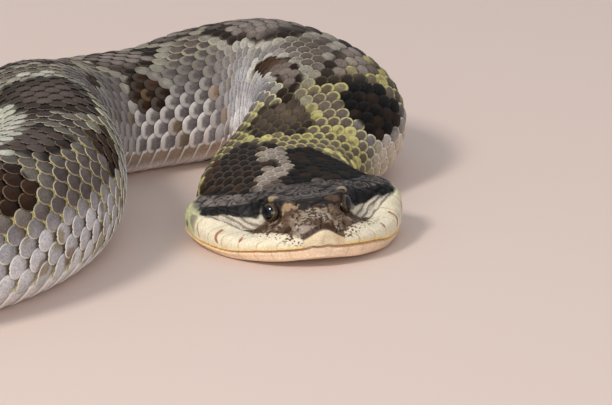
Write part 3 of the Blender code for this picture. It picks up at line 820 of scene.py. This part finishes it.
def eye_centre(side):
    """Where an eye is, as (back, out, up): the left one's side is 1, the right one's -1."""
    return np.array([EYE_BACK, side * EYE_OUT, EYE_UP * (1 + HEAD_LEAN * side * EYE_OUT)])


def scales_round_eye(side):
    """Places of the small scales that ring an eye from in front, below and behind."""
    for k in range(EYE_SCALES):
        turn = 2 * math.pi * (k + 0.3) / EYE_SCALES
        out = EYE_OUT + 1.4 + 1.9 * math.sin(turn)
        place = on_top(EYE_BACK + 2.75 * math.cos(turn), side * out)
        if place[2] <= EYE_UP + 1.6:
            yield place


def small_scales(side, crown, rng):
    """Places of the small scales on the rest of one side of the head."""
    for back, out in itertools.product(np.arange(3.5, 27.5, SMALL_SCALE), np.arange(3.2, 19, SMALL_SCALE)):
        jitter = rng.uniform(-0.45, 0.45, 2)
        place = on_top(back + jitter[0], side * (out + jitter[1]))
        near_eye = np.linalg.norm((place - eye_centre(side)) * (1, 1, 0.7)) < 3.9
        near_crown = min(np.linalg.norm(place - p) for p in crown) < 1.8
        on_frontal = back < 12 and out < 4.5
        if not (near_eye or near_crown or on_frontal):
            yield place


def plate_seeds():
    """Seeds of the head's plates and small scales: their places, and the plate each belongs to."""
    rng = np.random.default_rng(5)
    groups = []
    for group in CROWN_PLATES:
        for side in ((1, -1) if group[0][1] else (1,)):
            groups.append([on_top(back, side * out) for back, out in group])
    crown = list(itertools.chain(*groups))
    for side in (1, -1):
        groups += [[place] for place in scales_round_eye(side)]
        groups += [[place] for place in small_scales(side, crown, rng)]
    plates = np.repeat(np.arange(len(groups)), [len(group) for group in groups])
    return np.concatenate(groups), plates


def lip_run():
    """Distance along the lip from the middle of the snout, for each place back."""
    back = np.linspace(0, HEAD_LENGTH, 400)
    out = lip_half(back)
    return back, np.concatenate([[0], np.cumsum(np.hypot(np.diff(back), np.diff(out)))]) + 0.5


LIP_BACK, LIP_RUN = lip_run()
lip_height = through((0, 2.3), (4, 3.0), (8, 4.7), (13, 6.2), (18, 6.5), (22, 5.8), (26, 4.8), (40, 3.4))


def above_mouth(s, q):
    """How far up the face a place is from the mouth line, along the skin."""
    grid = np.linspace(0.2, 0.98, 200)
    found = []
    for value in surface.s[surface.s < 0.6]:
        back, outs, ups = head_points(np.full(len(grid), value), grid)
        level = mouth_up(back) * (1 + HEAD_LEAN * outs) + 0.7 * bell(outs, 1.7)
        above_lip = np.arange(len(grid)) < int(np.argmax(outs)) - 6
        found.append(grid[np.argmin(np.where(above_lip, np.inf, np.abs(ups - level)))])
    line = np.interp(s, surface.s[:len(found)], found)
    return (line - np.abs(q)) * surface.girth(s)


def nearest_plates(points, seeds, plates):
    """Distances to the nearest plate and to the next one, and the nearest plate's number."""
    first = np.full(len(points), 99.0)
    second = first.copy()
    number = np.zeros(len(points), int)
    for plate in np.unique(plates):
        gap = np.min([np.linalg.norm(points - seed, axis=1) for seed in seeds[plates == plate]], axis=0)
        closer = gap < first
        second = np.where(closer, first, np.minimum(second, gap))
        first = np.where(closer, gap, first)
        number = np.where(closer, plate, number)
    return first, second, number


def near_line(back, out, line):
    """Distance from a line of (back, out) points, and how far along it the nearest point is."""
    best = np.full(np.shape(back), 99.0)
    along = np.zeros(np.shape(back))
    done = 0.0
    for (b0, o0), (b1, o1) in zip(line[:-1], line[1:]):
        length = math.hypot(b1 - b0, o1 - o0)
        t = np.clip(((back - b0) * (b1 - b0) + (out - o0) * (o1 - o0)) / length**2, 0, 1)
        gap = np.hypot(back - b0 - t * (b1 - b0), out - o0 - t * (o1 - o0))
        along = np.where(gap < best, done + t * length, along)
        best = np.minimum(best, gap)
        done += length
    return best, along


def from_seam(run, first, length):
    """Distance along the lip from the nearest seam between plates of that length."""
    along = (run - first) / length
    return np.abs(along - np.round(along)) * length


class HeadPlace:
    """Places on the head, and how they lie to its plates, lips and eyes."""

    def __init__(self, s, q):
        self.q = q
        self.back, self.out, self.up = head_points(s, q)
        self.side = np.abs(self.out)
        self.face = above_mouth(s, q)
        self.points = np.stack([self.back, self.out, self.up], 1)
        self.first, second, number = nearest_plates(self.points, *plate_seeds())
        self.gap = second - self.first
        self.random = hashed(number, number * 3 + 1, 7, 5)
        self.run = np.interp(self.back, LIP_BACK, LIP_RUN)
        self.mouth = self.back < MOUTH_END
        self.lip_top = lip_height(self.run) + 0.4 * (noise(self.run / 2.2, 0, seed=21) - 0.5)
        self.rise = (self.up - mouth_up(self.back)) / ROSTRAL_UP
        off = np.abs(self.out - 0.7)
        peak = (0.45 + 0.55 * bell(off, 2.6)) * step(3.65, 3.45, off)
        self.rostral = np.where((self.back < ROSTRAL_BACK) & (self.face > 0), peak - self.rise, -1)
        self.suture = from_seam(self.run, LIP_SEAM, LIP_PLATE)
        self.chin_suture = from_seam(self.run, CHIN_SEAM, CHIN_PLATE)
        self.lower = self.face <= 0
        self.upper = ~self.lower & (self.face < self.lip_top) & (self.back < LIP_END) & (self.rostral < 0)
        self.fine, self.coarse, self.speck = (
            noise(*(self.points / size).T, seed=seed) for size, seed in ((0.5, 31), (1.6, 32), (0.30, 33)))


def eye_relief(h, side):
    """The nostril, the hollow before the eye, the ring round it and its socket, on one side."""
    nostril = np.linalg.norm(h.points - on_top(NOSTRIL[0], side * NOSTRIL[1]), axis=1)
    centre = eye_centre(side)
    back, out, up = (h.points - centre).T
    from_eye = np.linalg.norm(h.points - centre, axis=1)
    hollow = bell(back + 2.4, 1.5) * bell(up + 0.1, 1.5) * (out * side > -2)
    ring = bell(from_eye - EYE_RADIUS - 0.45, 0.32) * step(-2.0, 0.5, back)
    socket = step(EYE_RADIUS + 0.25, EYE_RADIUS - 0.15, from_eye)
    return 0.22 * ring - 0.9 * step(0.75, 0.3, nostril) - 1.25 * hollow - 1.0 * socket


def head_relief(h):
    """How far the head's plates, lips, brows and folds stand out from its smooth shape."""
    ripple = step(0.35, 0.65, noise(h.back / 0.5, h.out / 2.4, seed=35)) * step(6, 9, h.back)
    relief = 0.09 * step(0.0, 0.9, h.gap) - 0.18 * step(0.22, 0.02, h.gap) - 0.06 * ripple
    lip = 0.20 - 0.14 * step(0.20, 0.03, h.suture) - 0.14 * step(0.35, 0.02, np.abs(h.lip_top - h.face))
    chin = 0.10 - 0.10 * step(0.18, 0.03, h.chin_suture) * (h.face > CHIN_ROW)
    chin = chin - 0.10 * step(0.2, 0.03, np.abs(h.face - CHIN_ROW))
    shovel = 0.15 + 0.45 * step(0.0, 0.3, h.rostral) * step(0.2, 0.9, h.rise)
    shovel = shovel - 0.25 * step(0.05, 0.0, h.rostral)
    for here, value in ((h.upper, lip), (h.lower, chin), (h.rostral > 0, shovel)):
        relief = np.where(here, value, relief)
    relief = relief - 0.75 * step(0.30, 0.06, np.abs(h.face)) * h.mouth
    relief = relief + eye_relief(h, 1) + eye_relief(h, -1)
    brow = bell(h.side - brow_half(h.back) + 0.1, 0.7) * span(h.back, 5.8, 7.6, 11, 13)
    fold, _ = near_line(h.back, h.side, CHEEK_FOLD)
    return relief + 0.40 * brow - 0.28 * step(0.35, 0.05, np.abs(fold - 0.5)) * (h.face > 3)


# ---- colours of the head

EYE_STRIPE = ((10.2, 7.0), (12.4, 10.0), (14.5, 13.2), (16.1, 15.9))
eye_line = through(*EYE_STRIPE)

CROWN, CROWN_DARK, TEMPLE = rgb(45, 38, 36), rgb(62, 50, 46), rgb(116, 106, 100)
CROWN_LINE, CROWN_CRACK, PLATE_SEAM = rgb(126, 115, 106), rgb(24, 19, 17), rgb(36, 28, 25)
# Pale flecks by the brow: (back, side, colour). The second, before the eye, is partly a painted highlight.
BROW_FLECKS_AND_GLINT = ((9.7, 5.7, rgb(158, 138, 108)), (7.4, 4.0, rgb(150, 138, 122)))
LORE, LORE_PALE, LORE_DARK = rgb(112, 90, 68), rgb(160, 144, 124), rgb(74, 54, 41)
SNOUT_FLECK, SNOUT_SEAM = rgb(48, 30, 20), rgb(60, 42, 32)
SNOUT_GREY, GOLDEN_AND_HIGHLIGHT = rgb(176, 162, 148), rgb(184, 156, 120)
DARK_BAND, BAND_BROWN, BAND_TORN = rgb(26, 20, 17), rgb(92, 62, 42), rgb(92, 69, 51)
CHEEK, CHEEK_LINE, EYE_BLACK = rgb(200, 190, 170), rgb(104, 94, 82), rgb(9, 8, 8)
CORNER_PALE, CORNER_SCALE, CORNER_LIP = rgb(190, 190, 146), rgb(112, 110, 100), rgb(120, 118, 104)
CREAM, CREAM_DARK, LIP_YELLOW = rgb(222, 211, 184), rgb(208, 194, 164), rgb(230, 198, 116)
LIP_SEAM_BROWN, LIP_DOT, LIP_BAR = rgb(166, 146, 104), rgb(74, 42, 26), rgb(146, 78, 40)
# Rusty bars of the lip: (run along it, from and to up the face, half width).
LIP_BARS = ((19.3, 1.3, 4.2, 0.30), (14.6, 1.9, 3.4, 0.18), (24.5, 1.0, 3.2, 0.16))
ROSTRAL, ROSTRAL_TAN, ROSTRAL_EDGE = rgb(216, 198, 164), rgb(204, 178, 142), rgb(58, 38, 26)
JAW, JAW_PALE = rgb(224, 197, 168), rgb(234, 204, 172)
JAW_SEAM, MOUTH_LINE = rgb(196, 150, 112), rgb(150, 100, 62)


def crown_colour(h):
    """Dark plates with fine pale lines, and the front of the hood's black patch."""
    temple = 0.25 * h.random + 0.7 * step(8, 11, h.side) * step(0.5, -0.5, h.out)
    tint = blend(CROWN, TEMPLE, temple) * (0.74 + 0.46 * h.coarse)[:, None]
    waves = 3.6 * noise(h.back / 1.15, h.side / 2.6, seed=36)
    phase = np.abs(waves - np.floor(waves) - 0.5)
    behind = step(12.8, 14.2, h.back + 0.06 * h.side) * step(5.0, 3.0, h.side)
    tint = paint(tint, (CROWN_LINE, 0.55 * span(phase, 0.32, 0.36, 0.44, 0.48)),
                 (CROWN_CRACK, 0.9 * step(0.20, 0.07, phase)), (PLATE_SEAM, 0.5 * step(0.30, 0.05, h.gap)),
                 (CROWN_DARK, 0.7 * behind * step(0.3, 0.6, h.coarse)))
    # pale flecks by the brow; the one before the eye is partly a painted highlight
    for back, side, colour in BROW_FLECKS_AND_GLINT:
        off = np.hypot((h.back - back) / 0.42, (h.side - side) / 0.72)
        tint = blend(tint, colour, 0.85 * step(1.2, 0.7, off + 0.8 * (h.fine - 0.5)))
    hood = step(0.6, 1.4, h.back - 12.2 - 0.30 * h.side) * step(0.4, 1.2, h.out) * step(12.5, 11, h.side)
    hood = hood * step(0.0, 0.3, h.coarse) * step(3.4, 2.4, np.abs(h.back - 14.2))
    return blend(tint, HOOD_BLACK, 0.92 * hood)


def eye_band(h, tint):
    """The dark band that joins the eyes, torn and brown at its front."""
    centre = 6.7 + 0.10 * h.side - 0.025 * h.out
    front = centre - 1.3 + 1.5 * (noise(h.out / 1.6, 3.0, seed=37) - 0.5)
    band = span(h.back, front, front + 0.4, centre + 1.2, centre + 1.5) * step(6.9, 5.6, h.side)
    brown = blend(DARK_BAND, BAND_BROWN, step(0.60, 0.75, h.fine) * step(centre, centre - 1, h.back))
    torn = step(0.60, 0.72, noise(h.back / 0.7, h.out / 1.8, seed=39))
    return paint(tint, (brown, 0.95 * band), (BAND_TORN, 0.65 * band * torn))


def snout_colour(h, tint):
    """Tan and dark-flecked from the snout to the eyes, with a golden spot before the right eye that is partly
    a painted highlight.
    """
    snout = step(6.6, 5.2, h.back - 0.12 * h.side) + step(8.6, 7.4, h.up) * step(10.5, 8, h.back)
    snout = np.clip(snout, 0, 1)
    tan = paint(LORE, (LORE_PALE, step(0.45, 0.75, h.coarse)), (LORE_DARK, 0.8 * step(0.5, 0.3, h.coarse)))
    flecks = step(0.55, 0.63, 0.75 * h.speck + 0.3 * h.coarse)
    tint = paint(tint, (tan, snout), (SNOUT_FLECK, 0.9 * snout * flecks),
                 (SNOUT_SEAM, 0.6 * snout * step(0.3, 0.05, h.gap)))
    # golden tan before the right eye only: partly the snout's colour, partly a painted highlight on that side
    to_golden_highlight = np.hypot((h.back - 6.9) / 0.9, (h.out + 3.7) / 1.6) + 1.1 * (h.fine - 0.5)
    greyish = span(h.out, -4.6, -3.4, -0.4, 0.6) * span(h.up, 3.6, 4.4, 6.6, 7.4)
    greyish = greyish * step(6.0, 5.0, h.back) * step(0.35, 0.6, h.fine)
    return paint(eye_band(h, tint), (GOLDEN_AND_HIGHLIGHT, 0.65 * step(1.1, 0.6, to_golden_highlight)), (SNOUT_GREY, 0.55 * greyish))


def cheek_colour(h, tint):
    """Behind the eye: a black stripe, with pale striped skin under it and a pale corner of the jaw."""
    low = step(8.2, 7.0, h.up) * step(-0.2, 0.2, h.side - eye_line(h.back)) * span(h.back, 8.6, 9.6, 14, 17)
    lines = 0.5 + 0.5 * np.sin((h.side - 0.9 * h.back) * 5.2 + 4 * h.coarse)
    striped = blend(CHEEK, CHEEK_LINE, 0.8 * step(0.60, 0.9, lines))
    stripe, along = near_line(h.back, h.side, EYE_STRIPE)
    width = 0.62 + 0.02 * along + 0.35 * (h.coarse - 0.5)
    black = step(width + 0.25, width, stripe) * (h.face > 2.0) * step(9.6, 10.6, h.back)
    corner = step(13.8, 15.8, h.back) * step(0.40, 0.44, np.abs(h.q)) * (1 - black)
    pale = blend(CORNER_PALE, CORNER_SCALE, step(0.75, 0.35, h.first) * (h.random > 0.35))
    return paint(tint, (striped, low), (EYE_BLACK, 0.98 * black), (pale, 0.92 * corner))


def lip_colour(h):
    """Cream plates, yellow at the mouth, dotted under the snout and with a few rusty bars."""
    border = h.lip_top - h.face
    dots = step(0.62, 0.68, h.speck + 0.12 * step(1.6, 0.4, border)) * step(3.0, 1.6, border)
    lip = paint(CREAM, (CREAM_DARK, step(0.5, 0.9, h.coarse)), (LIP_YELLOW, 0.9 * step(0.95, 0.25, h.face)),
                (LIP_SEAM_BROWN, 0.6 * step(0.18, 0.04, h.suture) * step(0.4, 1.0, h.face)),
                (LORE_PALE, 0.7 * step(0.9, 0.2, border) * step(17, 11, h.run)),
                (LIP_DOT, 0.92 * dots * step(19, 14, h.run)))
    for run, low_end, high_end, half in LIP_BARS:
        bar = np.abs(h.run - run - 0.5 * (h.face - 3)) < half * (0.5 + h.fine)
        lip = blend(lip, LIP_BAR, 0.85 * (bar & (h.face > low_end) & (h.face < high_end)))
    corner = blend(CORNER_PALE, CORNER_LIP, step(0.55, 0.7, h.coarse))
    return blend(lip, corner, 0.85 * step(14.0, 16.5, h.back))


def head_skin(s, q):
    """Relief in mm and colour of places on the head and jaw."""
    h = HeadPlace(s.ravel(), q.ravel())
    tint = cheek_colour(h, snout_colour(h, crown_colour(h)))
    tint = np.where(h.upper[:, None], lip_colour(h), tint)
    shovel = blend(ROSTRAL, ROSTRAL_TAN, step(0.3, 0.8, h.coarse))
    shovel_edge = span(h.rostral, -0.28, -0.20, 0.05, 0.12) * step(0.36, 0.48, h.rise)
    tint = paint(tint, (shovel, step(-0.03, 0.03, h.rostral)), (ROSTRAL_EDGE, 0.85 * shovel_edge))
    jaw = paint(JAW, (JAW_PALE, h.coarse), (LIP_YELLOW, 0.5 * step(-0.9, -0.2, h.face) * step(6, 10, h.back)),
                (JAW_SEAM, 0.45 * step(0.2, 0.04, h.chin_suture)))
    tint = np.where(h.lower[:, None], jaw, tint) * (0.92 + 0.16 * h.fine)[:, None]
    tint = blend(tint, MOUTH_LINE, 0.6 * step(0.22, 0.04, np.abs(h.face)) * h.mouth)
    return head_relief(h).reshape(s.shape), tint.reshape(*s.shape, 3)


# ---- skin

HEAD_AROUND, BODY_AROUND = 544, 136     # points round the skin
HEAD_RINGS, HEAD_SKIN_END = 280, 1.0
RING_STEP = 1.4                 # between the rings of the body


def places_round(s, around):
    return np.meshgrid(s, -1 + 2 * np.arange(around) / around, indexing="ij")


def head_part():
    """Points and colours of the skin from the snout to the nape, with the plates' relief and painted shade in
    the crease where the scales begin.
    """
    t = np.linspace(0, 1, HEAD_RINGS)
    along = -HEAD_LENGTH + (HEAD_LENGTH + HEAD_SKIN_END) * (0.35 * t**2.2 + 0.65 * t**1.15)
    s, q = places_round(along, HEAD_AROUND)
    relief, tint = head_skin(np.minimum(s, -0.001), q)
    begin = scales_from(np.abs(q)) - HEAD_LENGTH
    scaled = step(begin - 0.3, begin + 0.7, s)
    # painted shade: the skin darkens into the crease where the body's scales begin behind the head's plates
    crease_shade = 0.35 + 0.65 * step(begin + 0.6, begin + 2.6, s)
    tint = blend(tint, between_scales(s, q) * crease_shade[..., None], scaled)
    return surface.at(s, q, relief * (1 - scaled) - COAT_DEPTH * scaled), tint


def body_part():
    """Points and colours of the skin from the nape to the tail tip, under the scales."""
    s, q = places_round(np.arange(HEAD_SKIN_END + 1.2, BODY_LENGTH + 0.1, RING_STEP), BODY_AROUND)
    thin = np.clip(surface.girth(s) / 12, 0.3, 1)
    return surface.at(s, q, -COAT_DEPTH * thin), between_scales(s, q)


def nape_join(last, first):
    """Triangles from the head's last ring to the body's first ring, which has fewer points."""
    ratio = HEAD_AROUND // BODY_AROUND
    triangles = []
    for j in range(BODY_AROUND):
        near, far = first + j, first + (j + 1) % BODY_AROUND
        ring = [last + (j * ratio + k) % HEAD_AROUND for k in range(ratio + 1)]
        for k in range(ratio):
            triangles.append((ring[k], near if k < ratio // 2 else far, ring[k + 1]))
        triangles.append((ring[ratio // 2], near, far))
    return triangles


def build_skin(material):
    """One closed skin over head and body. It is finer on the head."""
    (head, head_tint), (body, body_tint) = head_part(), body_part()
    points = np.concatenate([head.reshape(-1, 3), body.reshape(-1, 3), body[-1:].mean(1)])
    colours = np.concatenate([head_tint.reshape(-1, 3), body_tint.reshape(-1, 3), body_tint[-1, -1:]])
    first, tail = HEAD_RINGS * HEAD_AROUND, len(points) - 1
    half = HEAD_AROUND // 2
    left = np.arange(1, half - 1)
    snout = np.stack([left, left + 1, HEAD_AROUND - left - 1, HEAD_AROUND - left], 1)
    quads = [ring_quads(HEAD_RINGS, HEAD_AROUND), ring_quads(len(body), BODY_AROUND, first), snout]
    triangles = nape_join(first - HEAD_AROUND, first)
    triangles += [(0, 1, HEAD_AROUND - 1), (half - 1, half, half + 1)]
    triangles += [tuple(three) for three in ring_fan(tail, tail - BODY_AROUND, BODY_AROUND)]
    local = np.zeros((len(points), 3))
    local[:first, 0] = 1
    return add_mesh("skin", material, points, np.concatenate(quads), triangles,
                    colours={"Tint": colours}, vectors={"Local": local})


# ---- eyes

EYE_ROWS, EYE_COLUMNS = 40, 64
EYE_PROUD, EYE_AIM = 0.15, (-0.55, 0.95, 0.22)  # how far it stands out, and where it looks


def build_eye(name, side, material):
    """A glossy ball, with its round pupil and iris told by the distance from its axis."""
    centre = head_place(EYE_BACK, side * (EYE_OUT + EYE_PROUD), EYE_UP)
    gaze = head_place(EYE_BACK + EYE_AIM[0], side * (EYE_OUT + EYE_AIM[1]), EYE_UP) - centre
    gaze[2] = EYE_AIM[2]
    gaze = unit(gaze)
    across = unit(np.cross(gaze, (0, 0, 1)))
    up = np.cross(across, gaze)
    tilt = np.linspace(0, math.pi, EYE_ROWS)[1:-1, None, None]
    turn = (np.arange(EYE_COLUMNS) * 2 * math.pi / EYE_COLUMNS)[None, :, None]
    ball = np.sin(tilt) * (np.cos(turn) * across + np.sin(turn) * up) + np.cos(tilt) * gaze
    points = np.concatenate([ball.reshape(-1, 3), [gaze, -gaze]]) * EYE_RADIUS + centre + SHIFT
    rings = EYE_ROWS - 2
    front, back = rings * EYE_COLUMNS, rings * EYE_COLUMNS + 1
    triangles = np.concatenate([ring_fan(front, 0, EYE_COLUMNS)[:, (0, 2, 1)],
                                ring_fan(back, front - EYE_COLUMNS, EYE_COLUMNS)])
    reach = np.where(np.cos(tilt) > 0, np.sin(tilt), 2) * EYE_RADIUS
    local = np.concatenate(np.broadcast_arrays(reach, np.cos(turn), np.sin(turn)), -1).reshape(-1, 3)
    local = np.concatenate([local, [[0, 1, 0], [2 * EYE_RADIUS, 1, 0]]])
    return add_mesh(name, material, points, ring_quads(rings, EYE_COLUMNS), triangles,
                    vectors={"Local": local})


# ---- materials


class Nodes:
    """Short ways to add the nodes of one material."""

    def __init__(self, name):
        self.material = bpy.data.materials.new(name)
        self.material.use_nodes = True
        self.tree = self.material.node_tree
        self.shader = self.tree.nodes["Principled BSDF"]

    def give(self, slot, value):
        """A socket's value: a number, a colour or another node's output."""
        if isinstance(value, (int, float)):
            slot.default_value = value
        elif isinstance(value, np.ndarray):
            slot.default_value = (*value, 1)
        else:
            self.tree.links.new(value, slot)

    def shade(self, **values):
        """Values of the shader, each named after its socket."""
        for key, value in values.items():
            self.give(self.shader.inputs[key.replace("_", " ")], value)

    def add(self, kind, output, inputs=(), **settings):
        """One output of a new node, with its settings made and its inputs given."""
        node = self.tree.nodes.new("ShaderNode" + kind)
        for key, value in settings.items():
            setattr(node, key, value)
        for key, value in dict(inputs).items():
            self.give(node.inputs[key], value)
        return node.outputs[output]

    def attribute(self, name):
        return self.add("Attribute", "Color", attribute_name=name)

    def local(self):
        """The three numbers of the vector that a mesh holds as Local."""
        vector = self.add("Attribute", "Vector", attribute_name="Local")
        return self.add("SeparateXYZ", 0, {0: vector}).node.outputs

    def times(self, first, second):
        return self.add("Math", 0, {0: first, 1: second}, operation="MULTIPLY")

    def between(self, value, start, end, low_value=0.0, high_value=1.0):
        """A smooth ramp of value from start to end."""
        inputs = {"Value": value, "From Min": start, "From Max": end,
                  "To Min": low_value, "To Max": high_value}
        return self.add("MapRange", "Result", inputs, interpolation_type="SMOOTHSTEP")

    def mix(self, share, first, second, kind="MIX"):
        return self.add("Mix", 2, {0: share, 6: first, 7: second}, data_type="RGBA", blend_type=kind)

    def noise(self, size, detail=3.0):
        """Noise in the object's own space, with lumps of about that size in mm."""
        place = self.add("TexCoord", "Object")
        return self.add("TexNoise", "Fac", {"Scale": 1 / (size * MM), "Detail": detail, "Vector": place})

    def bump(self, bumps, strength, distance):
        inputs = {"Strength": strength, "Distance": distance * MM, "Height": bumps}
        self.shade(Normal=self.add("Bump", "Normal", inputs))


def scale_material():
    """Horny keeled scales: a pale worn rim, a root darkened as painted shade under the scale before it, fine
    specks and a satin gloss.
    """
    n = Nodes("scales")
    _, down, edge = n.local()
    specks = n.noise(0.30)
    base = n.mix(1.0, n.attribute("Tint"), n.between(specks, 0.35, 0.65, 0.80, 1.18), "MULTIPLY")
    # painted shade: each scale darkens towards its root, which lies under the tip of the scale before it
    base = n.mix(1.0, base, n.between(down, 0.12, 0.5, 0.72, 1.0), "MULTIPLY")
    rim = n.times(n.between(edge, 0.40, 0.20), n.between(down, 0.35, 0.62))
    n.shade(Base_Color=n.mix(n.times(rim, 0.88), base, n.attribute("Rim")),
            Roughness=n.between(specks, 0.3, 0.7, 0.50, 0.64), Specular_IOR_Level=0.07)
    n.bump(n.noise(0.16, 2.0), 0.35, 0.05)
    return n.material


def skin_material():
    """Soft skin between the scales, and the plates of the head."""
    n = Nodes("skin")
    grain = n.between(n.noise(0.22), 0.3, 0.7, 0.86, 1.12)
    n.shade(Base_Color=n.mix(1.0, n.attribute("Tint"), grain, "MULTIPLY"),
            Roughness=n.between(n.noise(0.5), 0.3, 0.7, 0.44, 0.60), Specular_IOR_Level=0.20,
            Subsurface_Weight=0.06, Subsurface_Scale=0.0006)
    n.bump(n.noise(0.25, 3.0), 0.30, 0.06)
    return n.material


def eye_material():
    """A black round pupil, faintly blue as a painted reflection, a golden ring and a dark brown iris, told by
    the distance from its middle.
    """
    n = Nodes("eye")
    reach, _, _ = n.local()
    iris = n.mix(n.between(n.noise(0.14), 0.4, 0.62), rgb(36, 26, 18), rgb(86, 68, 42))
    ring = n.times(n.between(reach, 1.24, 1.29), n.between(reach, 1.40, 1.34))
    iris = n.mix(ring, iris, rgb(92, 74, 46))
    iris = n.mix(n.between(reach, 1.60, 1.74), iris, rgb(26, 20, 15))
    # painted reflection: the black pupil is tinted faintly blue
    n.shade(Base_Color=n.mix(n.between(reach, 1.27, 1.22), iris, rgb(6, 8, 13)), Roughness=0.06,
            Specular_IOR_Level=0.35, Coat_Weight=0.15, Coat_Roughness=0.02)
    return n.material


def floor_material():
    n = Nodes("floor")
    n.shade(Base_Color=rgb(214, 194, 182), Roughness=0.9)
    return n.material


# ---- the model

FLESH = [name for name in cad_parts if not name.startswith("eye")]
SCALE_PIECES = 6


def build_snake():
    scales = scale_material()
    skin = build_skin(skin_material())
    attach(skin, "root")
    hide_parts(*FLESH)
    for number, group in enumerate(np.array_split(scale_list(), SCALE_PIECES), 1):
        coat = build_scales(group, f"scales_{number}", scales)
        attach(coat, "root")
    belly = build_belly_scales("belly_scales", scales)
    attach(belly, "root")
    glossy = eye_material()
    for name, side in (("left", 1), ("right", -1)):
        eye = build_eye(f"eyeball_{name}", side, glossy)
        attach(eye, "root")
        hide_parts(f"eye_{name}")


# ---- floor, light and camera

CAMERA_AWAY, CAMERA_ELEVATION, CAMERA_LENS, SENSOR_WIDTH = 500.0, 16.0, 166.2, 36
FLOOR_SIDE, FLOOR_NEAR, FLOOR_FAR = 4000, -2500, 9000
# Name, azimuth, elevation, distance and size in metres, power and colour.
LIGHTS = (
    ("key", -47, 47, 0.9, 0.20, 5.0, (1.0, 0.95, 0.90)),
    ("fill", 0, 7, 0.9, 0.6, 4.3, (1.0, 0.98, 0.97)),
    ("back", 150, 50, 1.1, 0.7, 0.9, (0.95, 0.97, 1.0)),
)
STUDIO, STUDIO_STRENGTH = rgb(222, 226, 234), 0.72


def aim(thing, target):
    """Turn a light or the camera to look at a point."""
    away = np.array(thing.location) - target
    flat = math.hypot(away[0], away[1])
    thing.rotation_euler = (math.atan2(flat, away[2]), 0, math.atan2(away[0], -away[1]))


def area_light(name, azimuth, elevation, distance, size, power, colour):
    """A square soft light, at an azimuth round from behind the camera towards its right."""
    data = bpy.data.lights.new(name, "AREA")
    data.size, data.energy, data.color = size, power, colour
    lamp = bpy.data.objects.new(name, data)
    a, e = math.radians(azimuth), math.radians(elevation)
    lamp.location = (distance * math.cos(e) * math.sin(a), -distance * math.cos(e) * math.cos(a),
                     distance * math.sin(e))
    aim(lamp, np.zeros(3))
    bpy.context.scene.collection.objects.link(lamp)


def build_stage():
    corners = [(x * FLOOR_SIDE, y, 0)
               for x, y in ((-1, FLOOR_NEAR), (1, FLOOR_NEAR), (1, FLOOR_FAR), (-1, FLOOR_FAR))]
    floor = add_mesh("floor", floor_material(), corners, [(0, 1, 2, 3)])
    for light in LIGHTS:
        area_light(*light)
    world = bpy.data.worlds.new("studio")
    world.use_nodes = True
    background = world.node_tree.nodes["Background"]
    background.inputs["Color"].default_value = (*STUDIO, 1)
    background.inputs["Strength"].default_value = STUDIO_STRENGTH
    bpy.context.scene.world = world
    bpy.context.scene.view_settings.view_transform = "Standard"


def build_camera():
    data = bpy.data.cameras.new("camera")
    data.lens, data.sensor_width = CAMERA_LENS, SENSOR_WIDTH
    data.clip_start, data.clip_end = 0.01, 50
    camera = bpy.data.objects.new("camera", data)
    target = np.array([SHIFT[0], SHIFT[1], 0.0]) * MM
    e = math.radians(CAMERA_ELEVATION)
    camera.location = target + np.array([0, -math.cos(e), math.sin(e)]) * CAMERA_AWAY * MM
    aim(camera, target)
    bpy.context.scene.collection.objects.link(camera)
    bpy.context.scene.camera = camera


build_snake()
build_stage()
build_camera()
